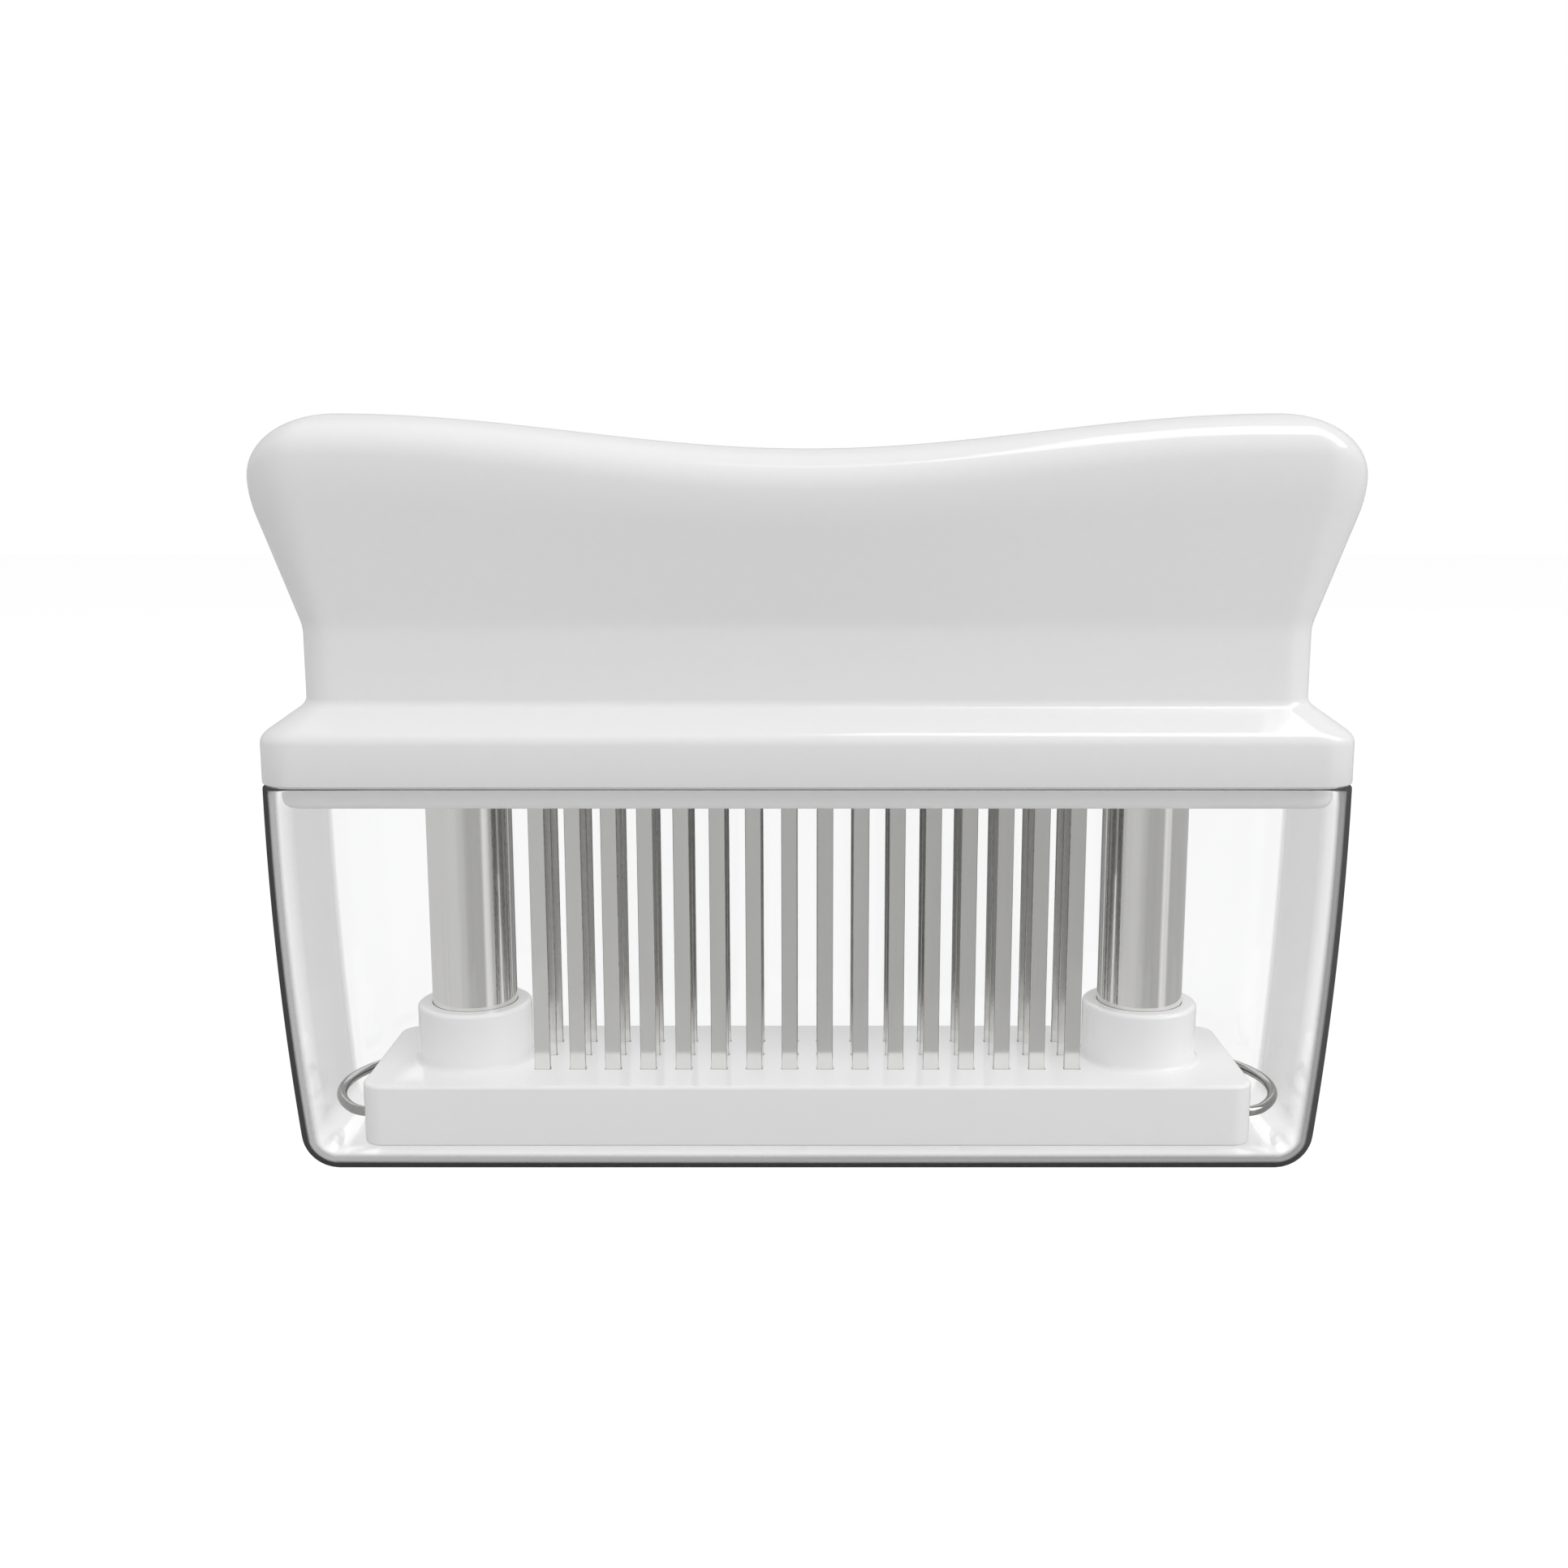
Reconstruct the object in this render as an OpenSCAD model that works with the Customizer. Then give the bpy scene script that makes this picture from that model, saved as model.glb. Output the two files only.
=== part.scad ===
// Spring-loaded blade meat tenderizer with its clear storage cover.
// Millimetres, +Z up. The cover stands on z = 0, +X runs along the length and the front faces -Y.
// A moulded handle carries three strips of knives and two steel columns. A guard plate slides on
// the columns, and springs inside them hold it down over the knife points.

/* [Blades] */
// Knives in each row
blades_per_row = 16; // [8:2:18]
// Distance between neighbouring knives of a row
blade_pitch = 5; // [4.6:0.1:5.4]
// Distance between the three rows
row_pitch = 6; // [5.5:0.1:6.5]
// Width of a knife
blade_w = 2.2; // [1.8:0.1:2.6]
// Thickness of a knife
blade_t = 0.8; // [0.5:0.05:1]
// Height of the ground point of a knife
point_h = 2.4; // [1.5:0.1:3.5]
// How far the points stay inside the guard plate
point_cover = 1.6; // [1:0.1:3]

/* [Columns] */
// Outside diameter of the guide columns
column_d = 12; // [11:0.1:12.6]
// Wall of the column tube
column_t = 1; // [0.8:0.1:1.4]
// From the last knife of a row to the axis of the column
column_offset = 10.5; // [10.3:0.1:12]
// Travel of the guard plate up the knives
press_travel = 30.2; // [24:0.2:31]
// Width of the stop collar at the top of a column, beyond the column
collar_w = 1.2; // [0.9:0.1:1.5]
// Height of the stop collar
collar_h = 1.5; // [1:0.1:2.5]
// Wire of the return spring
spring_wire = 0.9; // [0.7:0.05:1.1]
// Outside diameter of the return spring
spring_d = 8.8; // [7.6:0.1:9]

/* [Guard plate] */
// Thickness of the guard plate
plate_h = 8.8; // [8:0.1:11]
// From the axis of a column to the end of the plate
plate_end = 13.7; // [13:0.1:16]
// From the outer row of knives to the long edge of the plate
plate_edge = 7.5; // [7:0.1:9]
// Radius of the upright corners of the plate
plate_r = 3; // [2:0.1:5]
// Height of the bosses that hold the columns
boss_h = 8.3; // [6:0.1:10]
// Wall of a boss around its column
boss_wall = 2.1; // [1.6:0.1:2.1]
// Gap around a knife in its slot
slot_gap = 0.15; // [0.1:0.05:0.3]

/* [Retaining clips] */
// Wire of the clips
clip_wire = 1.4; // [1.2:0.1:1.6]
// Depth of the groove that the clip wire enters
groove_depth = 0.75; // [0.5:0.05:0.9]
// Half width of the pull loop, between wire centres
loop_w = 10.8; // [10:0.1:11]
// Reach of the pull loop beyond the plate, to the wire centre
loop_reach = 5.7; // [5:0.1:6]
// Radius of the outer bow of the loop
loop_r = 14; // [13:0.5:20]
// Radius of the loop's shoulders
shoulder_r = 4.6; // [3.5:0.1:5]

/* [Cover] */
// Wall of the clear cover
cover_t = 1.4; // [1.2:0.1:1.8]
// From the end of the plate to the outside of the rim
end_room = 11.1; // [11:0.1:14]
// From the long edge of the plate to the outside of the rim
side_room = 4; // [3.8:0.1:6]
// Space between the cover's floor and the plate
plate_gap = 2.2; // [1:0.1:5]
// Radius of the gentle bow of the end walls
bow_r = 520; // [480:10:1500]
// Share of that bow in the front and back walls
side_bow = 0.45; // [0:0.05:0.6]
// Radius of the upright corners
corner_r = 5.2; // [4.5:0.1:8]
// Radius of the bottom edge
bottom_r = 4.8; // [3:0.1:6]
// Visible gap between rim and handle
seam = 0.3; // [0.1:0.05:0.6]

/* [Handle] */
// Height of the plinth's upright edge
plinth_h = 6.5; // [6.4:0.1:9]
// Width of the sloping band between plinth and neck
band_run = 5.1; // [3:0.1:5.6]
// Height of the sloping band
band_rise = 3.9; // [2.5:0.1:6]
// Height of the upright neck
neck_h = 10.2; // [8:0.1:14]
// Radius of the neck's upright corners
neck_r = 4.5; // [3:0.1:6]
// How far each end flares out beyond the neck
flare_x = 6.1; // [4:0.1:9]
// How far the front and the back flare out beyond the neck
flare_y = 3.3; // [1.5:0.1:5]
// Radius of the grip's upright corners at its widest
grip_r = 7.5; // [6:0.1:9]
// From the top of the neck to the bottom of the saddle
grip_h = 23.3; // [22:0.1:28]
// Rise from the middle of the saddle to the crests
saddle_rise = 4.5; // [1:0.1:7]
// From each end of the grip to the crest of the saddle
crest_in = 11.9; // [9:0.1:16]
// From a crest down to the widest line of the end
end_drop = 8.5; // [7:0.1:10]
// Width and height of the rounding along the top edges
roll_run = 7; // [4:0.1:8]
roll_drop = 5.6; // [4:0.1:7]

/* [Blade carrier] */
// Depth of the lip below the plinth
lip_h = 3.2; // [2.4:0.1:5]
// Set-back of the lip behind the plinth's face
lip_inset = 2; // [1.9:0.1:3]
// Floor of the carrier under the strips
carrier_floor = 2; // [1.5:0.1:2.5]
// Height of the blade strips
strip_h = 7; // [5:0.1:7.2]
// Web between two strips
strip_web = 1.4; // [1:0.1:1.8]

/* [Hidden] */
$fn = 48;

// Clearances
slide_gap = 0.08;      // column in its guide bore, radial
fit_gap = 0.15;        // moulded part in its pocket, each side
seat_gap = 0.1;        // face to face seats of moving parts
wire_gap = 0.25;       // clip wire in its slot
clip_gap = 0.1;        // clip wire in its groove, radial
collar_gap = 0.4;      // collar in the handle's bore, radial
ring_gap = 0.02;       // collar on its column, radial
spigot_gap = 0.03;     // foot's spigot in the tube, radial
screw_gap = 0.05;      // screw in the handle, radial
screw_play = 0.15;     // screw in the carrier, radial
strip_gap = 0.05;      // knife in its strip, each side
end_gap = 0.05;        // spring to its seats
cut = 1;               // overshoot of cutting solids

// Plan
field_x = (blades_per_row - 1) / 2 * blade_pitch;
column_x = field_x + column_offset;
plate_x = column_x + plate_end;
plate_y = row_pitch + plate_edge;
rim_x = plate_x + end_room;
rim_y = plate_y + side_room;
neck_x = rim_x - band_run;
neck_y = rim_y - band_run;
grip_x = neck_x + flare_x;
grip_y = neck_y + flare_y;
crest_x = grip_x - crest_in;

// Heights
plate_z = cover_t + plate_gap;
plate_top = plate_z + plate_h;
boss_top = plate_top + boss_h;
press_margin = 0.5;
lip_z = boss_top + press_travel + press_margin;
foot_z = lip_z + lip_h;
cover_h = foot_z - seam;
plinth_top = foot_z + plinth_h;
neck_z = plinth_top + band_rise;
crease_z = neck_z + neck_h;
saddle_z = crease_z + grip_h;
crest_z = saddle_z + saddle_rise;
end_z = crest_z - end_drop;

// Carrier and what it holds
roof_gap = 0.2;
carrier_top = lip_z + carrier_floor + strip_h + roof_gap;
pocket_wall_x = 5.8;
pocket_wall_y = 5.2;
pocket_x = rim_x - pocket_wall_x;
pocket_y = rim_y - pocket_wall_y;
pocket_r = 3;
lip_edge = 1.2;
lip_r = corner_r - 1;
strip_w = row_pitch - strip_web - 2 * fit_gap;
strip_end = 1.2;
strip_x = field_x + blade_w / 2 + strip_end;
head_out = 0.5;
head_w = blade_w + 2 * head_out;
head_h = 1;
strip_z = lip_z + carrier_floor;
strip_top = strip_z + strip_h;
point_z = plate_z + point_cover;

// Columns, collars, springs and bores
column_r = column_d / 2;
tube_r = column_r - column_t;
boss_r = column_r + boss_wall;
boss_edge = 0.6;
boss_fillet = 0.9;
plate_edge_r = 0.5;
seat_floor = 1.4;
seat_z = plate_z + seat_floor;
tube_lap = 1;
tube_z = plate_top + tube_lap;
tube_end = 0.4;
tube_top = carrier_top + seat_gap + collar_h + tube_end;
spring_seat_rise = 0.5;
spring_seat_z = boss_top + spring_seat_rise;
collar_r = column_r + collar_w;
bore_r = collar_r + collar_gap;
bore_margin = 2.2;
bore_top = tube_top + press_travel + bore_margin;
post_gap = 0.3;
post_r = spring_d / 2 - spring_wire - post_gap;
post_h = 5;
spring_turns = 13;

// Clips
clip_drop = 0.2;
clip_z = (plate_z + plate_top) / 2 - clip_drop;
groove_r = column_r - groove_depth;
leg_y = groove_r + clip_gap + clip_wire / 2;
leg_past = 7.5;
leg_end = column_x - leg_past;
slot_h = clip_wire + 2 * wire_gap;
loop_apex = plate_x + loop_reach;
bow_x = loop_apex - loop_r;
shoulder_y = loop_w - shoulder_r;
shoulder_x = bow_x + sqrt(pow(loop_r - shoulder_r, 2) - pow(shoulder_y, 2));
bow_angle = asin(shoulder_y / (loop_r - shoulder_r));
bend_r = 1.5;
shoulder_run = 0.3;
bend_out_x = shoulder_x - shoulder_run;
bend_in_x = bend_out_x - (loop_w - leg_y) - 2 * bend_r * tan(22.5);
slot_end = 0.4;
mouth_x = bend_in_x - slot_end;
mouth_gap = 0.3;

// Screws that hold the carrier
screw_out = 12;
screw_in = 4.1;
screw_x = column_x + screw_out;
screw_y = pocket_y - screw_in;
screw_r = 1.45;
screw_head_r = 2.6;
screw_head_h = 1.4;
screw_sink = 1.8;
screw_l = 16;
head_gap = 0.2;
recess_w = 2.6;
recess_t = 0.6;
recess_h = 0.8;

// ---------- outline and loft helpers ----------

corner_steps = 6;
side_steps = 16;

// Turns one corner of a rounded rectangle: x, y and the share of the end, 1 on the end's axis
function corner_points(x, y, r, first) = [
    for (i = [0:corner_steps])
        let (a = first + 90 * i / corner_steps)
        [sign(cos(first + 45)) * (x - r) + r * cos(a), sign(sin(first + 45)) * (y - r) + r * sin(a),
         pow(cos(a), 2)]
];
// Inner points of a long side, from one end towards the other
function side_points(x, y, steps) = [
    for (i = [1:1:steps - 1]) [x * (1 - 2 * i / steps), y, 0]
];
// Rounded rectangle with half sizes x and y, anticlockwise from the +X end
function ring(x, y, r, steps) = concat(
    corner_points(x, y, r, 0),
    side_points(x - r, y, steps),
    corner_points(x, y, r, 90),
    corner_points(x, y, r, 180),
    side_points(r - x, -y, steps),
    corner_points(x, y, r, 270)
);
function flat_ring(x, y, r, z, steps) = [for (p = ring(x, y, r, steps)) [p[0], p[1], z]];

// Solid through a stack of rings, closed across the width at both ends
module loft(rings) {
    count = len(rings[0]);
    half = count / 2;
    sides = [
        for (k = [0:len(rings) - 2], i = [0:count - 1])
            let (j = (i + 1) % count, a = k * count, b = a + count)
            each [[a + i, b + i, b + j], [a + i, b + j, a + j]]
    ];
    top = (len(rings) - 1) * count;
    caps = [
        for (i = [0:half - 2])
            let (m = count - 1 - i)
            each [
                [i, i + 1, m - 1], [i, m - 1, m],
                [top + i, top + m - 1, top + i + 1], [top + i, top + m, top + m - 1]
            ]
    ];
    polyhedron(points = [for (r = rings) each r], faces = concat(sides, caps));
}

// Wire through a row of equal rings with flat ends
module swept_wire(rings) {
    count = len(rings[0]);
    last = (len(rings) - 1) * count;
    polyhedron(
        points = [for (r = rings) each r],
        faces = concat(
            [for (k = [0:len(rings) - 2], i = [0:count - 1])
                let (j = (i + 1) % count, a = k * count, b = a + count)
                each [[a + i, a + j, b + j], [a + i, b + j, b + i]]],
            [[for (i = [count - 1:-1:0]) i], [for (i = [0:count - 1]) last + i]]
        )
    );
}

module rounded_plan(x, y, r) {
    square([2 * (x - r), 2 * y], center = true);
    square([2 * x, 2 * (y - r)], center = true);
    for (sx = [-1, 1], sy = [-1, 1])
        translate([sx * (x - r), sy * (y - r)]) circle(r);
}

// Half section of a slab: reach a, height h, top edge rounded by e
module edge_section(a, h, e) {
    square([a, h - e]);
    square([a - e, h]);
    translate([a - e, h - e]) circle(e);
}

// Slab on z = 0 with upright corner radius r and a top edge rounded by e
module soft_slab(x, y, h, r, e) {
    rotate([90, 0, 0]) linear_extrude(2 * (y - r), center = true) {
        edge_section(x, h, e);
        mirror([1, 0]) edge_section(x, h, e);
    }
    rotate([90, 0, 90]) linear_extrude(2 * (x - r), center = true) {
        edge_section(y, h, e);
        mirror([1, 0]) edge_section(y, h, e);
    }
    for (sx = [-1, 1], sy = [-1, 1])
        translate([sx * (x - r), sy * (y - r), 0]) rotate_extrude() intersection() {
            edge_section(r, h, e);
            square([r, h]);
        }
}

module at_blades(y) {
    for (i = [0:blades_per_row - 1])
        translate([i * blade_pitch - field_x, y, 0]) children();
}

module at_rows() {
    for (row = [-1:1]) translate([0, row * row_pitch, 0]) children();
}

module at_screws() {
    for (sx = [-1, 1], sy = [-1, 1]) translate([sx * screw_x, sy * screw_y, 0]) children();
}

// ---------- cover ----------

function bow(z) = pow(cover_h - z, 2) / (2 * bow_r);
function cover_ring(inset, z) =
    flat_ring(rim_x - bow(z) - inset, rim_y - side_bow * bow(z) - inset,
              max(0.4, corner_r - inset), z, 1);
// Rings from the floor to the rim; t is the wall already taken off
function cover_rings(t, top) = concat(
    [for (a = [0:15:90]) cover_ring(t + (bottom_r - t) * (1 - sin(a)), bottom_r - (bottom_r - t) * cos(a))],
    [for (i = [1:6]) cover_ring(t, bottom_r + (top - bottom_r) * i / 6)]
);

module cover() {
    color([0.93, 0.95, 0.96, 0.35]) difference() {
        loft(cover_rings(0, cover_h));
        loft(cover_rings(cover_t, cover_h + cut));
    }
}

// ---------- handle ----------

// Straight flare that turns upright in its last quarter
function flare(u) = u < 0.75 ? 8 / 7 * u : 1 - 16 / 7 * pow(1 - u, 2);
// Height of the saddle's top line above its middle
function saddle(x) = saddle_rise * (1 - cos(180 * min(1, abs(x) / crest_x))) / 2;
// Widest line of the grip: it follows the saddle along the sides and drops at the ends
function widest_z(p) = (saddle_z + saddle(p[0]) - roll_drop) * (1 - p[2]) + end_z * p[2];

function flare_ring(u) =
    let (s = flare(u))
    [for (p = ring(neck_x + flare_x * s, neck_y + flare_y * s, neck_r + (grip_r - neck_r) * s, side_steps))
        [p[0], p[1], crease_z + (widest_z(p) - crease_z) * u]];

function roll_ring(a) =
    let (
        in = 1 - cos(a),
        outer = ring(grip_x, grip_y, grip_r, side_steps),
        inner = ring(grip_x - crest_in * in, grip_y - roll_run * in,
                     grip_r - min(roll_run, grip_r - 0.6) * in, side_steps)
    )
    [for (i = [0:len(inner) - 1])
        let (p = inner[i], base = widest_z(outer[i]))
        [p[0], p[1], base + (saddle_z + saddle(p[0]) - base) * sin(a)]];

// Soft corner between the plinth's edge and the band, and between the band and the neck
edge_soft = 0.9;
foot_soft = 0.7;
function band_ring(in, z) =
    flat_ring(rim_x - in, rim_y - in, corner_r + (neck_r - corner_r) * in / band_run, z, side_steps);

function handle_rings() = concat(
    [
        band_ring(0, foot_z),
        band_ring(0, plinth_top - edge_soft),
        band_ring(0.3 * edge_soft, plinth_top + 0.05),
        band_ring(edge_soft, plinth_top + edge_soft * band_rise / band_run),
        band_ring(band_run - foot_soft, neck_z - foot_soft * band_rise / band_run),
        band_ring(band_run - 0.2 * foot_soft, neck_z + 0.2 * foot_soft),
        band_ring(band_run, neck_z + foot_soft),
        flat_ring(neck_x, neck_y, neck_r, crease_z - 0.8, side_steps)
    ],
    [for (u = [0.04, 0.4, 0.75, 0.84, 0.92, 1]) flare_ring(u)],
    [for (a = [12:13:90]) roll_ring(a)],
    [roll_ring(90)]
);

// Bore for a column and its collar, with the post that centres the spring
module column_bore() {
    difference() {
        translate([0, 0, foot_z]) cylinder(r = bore_r, h = bore_top - foot_z);
        translate([0, 0, bore_top - post_h]) cylinder(r = post_r, h = post_h);
    }
}

module handle() {
    color([0.93, 0.93, 0.92]) difference() {
        loft(handle_rings());
        translate([0, 0, foot_z - cut])
            linear_extrude(carrier_top + seat_gap - foot_z + cut) rounded_plan(pocket_x, pocket_y, pocket_r);
        for (s = [-1, 1]) translate([s * column_x, 0, 0]) column_bore();
        at_screws() translate([0, 0, foot_z])
            cylinder(r = screw_r + screw_gap, h = lip_z + screw_sink + screw_l + cut - foot_z);
    }
}

// ---------- blade carrier ----------

module blade_carrier() {
    color([0.91, 0.91, 0.90]) difference() {
        union() {
            translate([0, 0, foot_z]) mirror([0, 0, 1])
                soft_slab(rim_x - lip_inset, rim_y - lip_inset, lip_h, lip_r, lip_edge);
            translate([0, 0, foot_z - cut]) linear_extrude(carrier_top - foot_z + cut)
                rounded_plan(pocket_x - fit_gap, pocket_y - fit_gap, pocket_r - fit_gap);
        }
        for (s = [-1, 1]) translate([s * column_x, 0, lip_z - cut])
            cylinder(r = column_r + slide_gap, h = carrier_top - lip_z + 2 * cut);
        at_rows() translate([0, 0, strip_z + strip_h])
            cube([2 * (strip_x + fit_gap), strip_w + 2 * fit_gap, 2 * strip_h], center = true);
        at_rows() at_blades(0) translate([0, 0, strip_z])
            cube([blade_w + 2 * fit_gap, blade_t + 2 * fit_gap, 3 * carrier_floor], center = true);
        at_screws() {
            translate([0, 0, lip_z - cut])
                cylinder(r = screw_r + screw_play, h = carrier_top - lip_z + 2 * cut);
            translate([0, 0, lip_z - cut]) cylinder(r = screw_head_r + head_gap, h = screw_sink + cut);
        }
    }
}

module strip(row) {
    color([0.82, 0.82, 0.80]) difference() {
        translate([0, row * row_pitch, strip_z + strip_h / 2])
            cube([2 * strip_x, strip_w, strip_h], center = true);
        at_blades(row * row_pitch) {
            translate([0, 0, strip_z + strip_h / 2])
                cube([blade_w + 2 * strip_gap, blade_t + 2 * strip_gap, strip_h + cut], center = true);
            translate([0, 0, strip_top])
                cube([head_w + 2 * strip_gap, blade_t + 2 * strip_gap, 2 * (head_h + strip_gap)], center = true);
        }
    }
}

// One knife: a flat bar with a spear point ground to an edge, and a head that hangs in its strip
module blade() {
    intersection() {
        rotate([90, 0, 0]) linear_extrude(blade_t, center = true) polygon([
            [0, point_z],
            [blade_w / 2, point_z + point_h],
            [blade_w / 2, strip_top - head_h],
            [head_w / 2, strip_top - head_h],
            [head_w / 2, strip_top],
            [-head_w / 2, strip_top],
            [-head_w / 2, strip_top - head_h],
            [-blade_w / 2, strip_top - head_h],
            [-blade_w / 2, point_z + point_h]
        ]);
        rotate([90, 0, 90]) linear_extrude(2 * head_w, center = true) polygon([
            [0, point_z],
            [blade_t / 2, point_z + point_h * 0.6],
            [blade_t / 2, strip_top + cut],
            [-blade_t / 2, strip_top + cut],
            [-blade_t / 2, point_z + point_h * 0.6]
        ]);
    }
}

module blade_row(row) {
    color([0.66, 0.66, 0.65]) at_blades(row * row_pitch) blade();
}

module carrier_screws() {
    color([0.62, 0.62, 0.60]) at_screws() translate([0, 0, lip_z + screw_sink]) difference() {
        union() {
            cylinder(r = screw_r, h = screw_l);
            translate([0, 0, -screw_head_h]) cylinder(r = screw_head_r, h = screw_head_h);
        }
        translate([0, 0, -screw_head_h]) {
            cube([recess_w, recess_t, 2 * recess_h], center = true);
            cube([recess_t, recess_w, 2 * recess_h], center = true);
        }
    }
}

// ---------- columns and springs ----------

module column() {
    color([0.72, 0.72, 0.71]) translate([0, 0, tube_z]) difference() {
        cylinder(r = column_r, h = tube_top - tube_z);
        translate([0, 0, -cut]) cylinder(r = tube_r, h = tube_top - tube_z + 2 * cut);
    }
}

// Turned foot of a column: the clip's groove below and the spring seat inside the tube
foot_edge = 0.5;
module column_foot() {
    color([0.60, 0.60, 0.60]) rotate_extrude() polygon([
        [0, seat_z],
        [column_r - foot_edge, seat_z],
        [column_r, seat_z + foot_edge],
        [column_r, clip_z - slot_h / 2],
        [groove_r, clip_z - slot_h / 2],
        [groove_r, clip_z + slot_h / 2],
        [column_r, clip_z + slot_h / 2],
        [column_r, tube_z],
        [tube_r - spigot_gap, tube_z],
        [tube_r - spigot_gap, spring_seat_z - foot_edge],
        [tube_r - spigot_gap - foot_edge, spring_seat_z],
        [0, spring_seat_z]
    ]);
}

collar_edge = 0.3;
module stop_collar() {
    color([0.55, 0.55, 0.55]) translate([0, 0, carrier_top + seat_gap]) rotate_extrude() polygon([
        [column_r + ring_gap, 0],
        [collar_r - collar_edge, 0],
        [collar_r, collar_edge],
        [collar_r, collar_h],
        [column_r + ring_gap, collar_h]
    ]);
}

// Height of the coil after a given number of turns: the first and last turns lie closed
coil_bottom = spring_seat_z + spring_wire / 2 + end_gap;
coil_top = bore_top - spring_wire / 2 - end_gap;
function coil_z(turn) =
    turn < 1 ? coil_bottom + spring_wire * turn
    : turn > spring_turns - 1 ? coil_top - spring_wire * (spring_turns - turn)
    : coil_bottom + spring_wire
      + (coil_top - coil_bottom - 2 * spring_wire) * (turn - 1) / (spring_turns - 2);

coil_steps = 14;
coil_sides = 6;
module spring() {
    color([0.50, 0.50, 0.50]) swept_wire([
        for (k = [0:spring_turns * coil_steps])
            let (turn = k / coil_steps, a = 360 * turn)
            [for (i = [0:coil_sides - 1])
                let (b = 360 * i / coil_sides, r = spring_d / 2 - spring_wire / 2 * (1 - cos(b)))
                [r * cos(a), r * sin(a), coil_z(turn) + spring_wire / 2 * sin(b)]]
    ]);
}

// ---------- guard plate ----------

module boss_section() {
    edge_section(boss_r, boss_h, boss_edge);
    difference() {
        square([boss_r + boss_fillet, boss_fillet]);
        translate([boss_r + boss_fillet, boss_fillet]) circle(boss_fillet);
    }
}

// Slot that the clip slides in: a wide mouth for the loop, then a track for the legs
module clip_slot() {
    translate([mouth_x, -loop_w - clip_wire / 2 - mouth_gap, clip_z - slot_h / 2])
        cube([plate_x - mouth_x + cut, 2 * loop_w + clip_wire + 2 * mouth_gap, slot_h]);
    translate([leg_end - slot_end, -leg_y - clip_wire / 2 - wire_gap, clip_z - slot_h / 2])
        cube([mouth_x - leg_end + cut, 2 * leg_y + clip_wire + 2 * wire_gap, slot_h]);
}

module guard_plate() {
    color([0.93, 0.93, 0.92]) difference() {
        union() {
            translate([0, 0, plate_z]) soft_slab(plate_x, plate_y, plate_h, plate_r, plate_edge_r);
            for (s = [-1, 1]) translate([s * column_x, 0, plate_top]) rotate_extrude() intersection() {
                boss_section();
                square([boss_r + boss_fillet, boss_h]);
            }
        }
        for (s = [-1, 1]) translate([s * column_x, 0, seat_z])
            cylinder(r = column_r + slide_gap, h = boss_top - seat_z + cut);
        at_rows() at_blades(0) translate([0, 0, plate_z + plate_h / 2])
            cube([blade_w + 2 * slot_gap, blade_t + 2 * slot_gap, plate_h + 2 * cut], center = true);
        clip_slot();
        mirror([1, 0, 0]) clip_slot();
    }
}

// Half of the clip's plan from a leg's end to its bow: x, y and direction of travel
function turn_points(x, y, r, from, to, steps) = [
    for (i = [0:steps])
        let (a = from + (to - from) * i / steps, side = to < from ? 1 : -1)
        [x - side * r * sin(a), y + side * r * cos(a), a]
];
bow_steps = 12;
bow_step = 2 * bow_angle / bow_steps;
clip_half = concat(
    [[leg_end, leg_y, 0]],
    turn_points(bend_in_x, leg_y + bend_r, bend_r, 0, 45, 4),
    turn_points(bend_out_x, loop_w - bend_r, bend_r, 45, 0, 4),
    turn_points(shoulder_x, shoulder_y, shoulder_r, 0, bow_angle - 90, 7)
);
clip_path = concat(
    clip_half,
    turn_points(bow_x, 0, loop_r, bow_angle - 90 - bow_step, bow_step - bow_angle - 90, bow_steps - 2),
    [for (i = [len(clip_half) - 1:-1:0])
        let (p = clip_half[i]) [p[0], -p[1], -180 - p[2]]]
);

// Sprung wire clip on the +X side: two legs beside the column and a pull loop outside the plate
clip_sides = 12;
module clip() {
    color([0.58, 0.58, 0.57]) swept_wire([
        for (p = clip_path)
            [for (i = [0:clip_sides - 1])
                let (b = 360 * i / clip_sides, out = clip_wire / 2 * cos(b))
                [p[0] + out * sin(p[2]), p[1] - out * cos(p[2]), clip_z + clip_wire / 2 * sin(b)]]
    ]);
}

module at_column(side) {
    translate([side * column_x, 0, 0]) children();
}

cover();
handle();
blade_carrier();
strip(-1);  // strip_front
strip(0);  // strip_middle
strip(1);  // strip_rear
blade_row(-1);  // blades_front
blade_row(0);  // blades_middle
blade_row(1);  // blades_rear
carrier_screws();
at_column(-1) column();  // column_left
at_column(1) column();  // column_right
at_column(-1) column_foot();  // column_foot_left
at_column(1) column_foot();  // column_foot_right
at_column(-1) stop_collar();  // stop_collar_left
at_column(1) stop_collar();  // stop_collar_right
at_column(-1) spring();  // spring_left
at_column(1) spring();  // spring_right
guard_plate();
mirror([1, 0, 0]) clip();  // clip_left
clip();  // clip_right
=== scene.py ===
import math

import bmesh
import bpy
import numpy as np
from mathutils import Matrix, Vector


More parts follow.
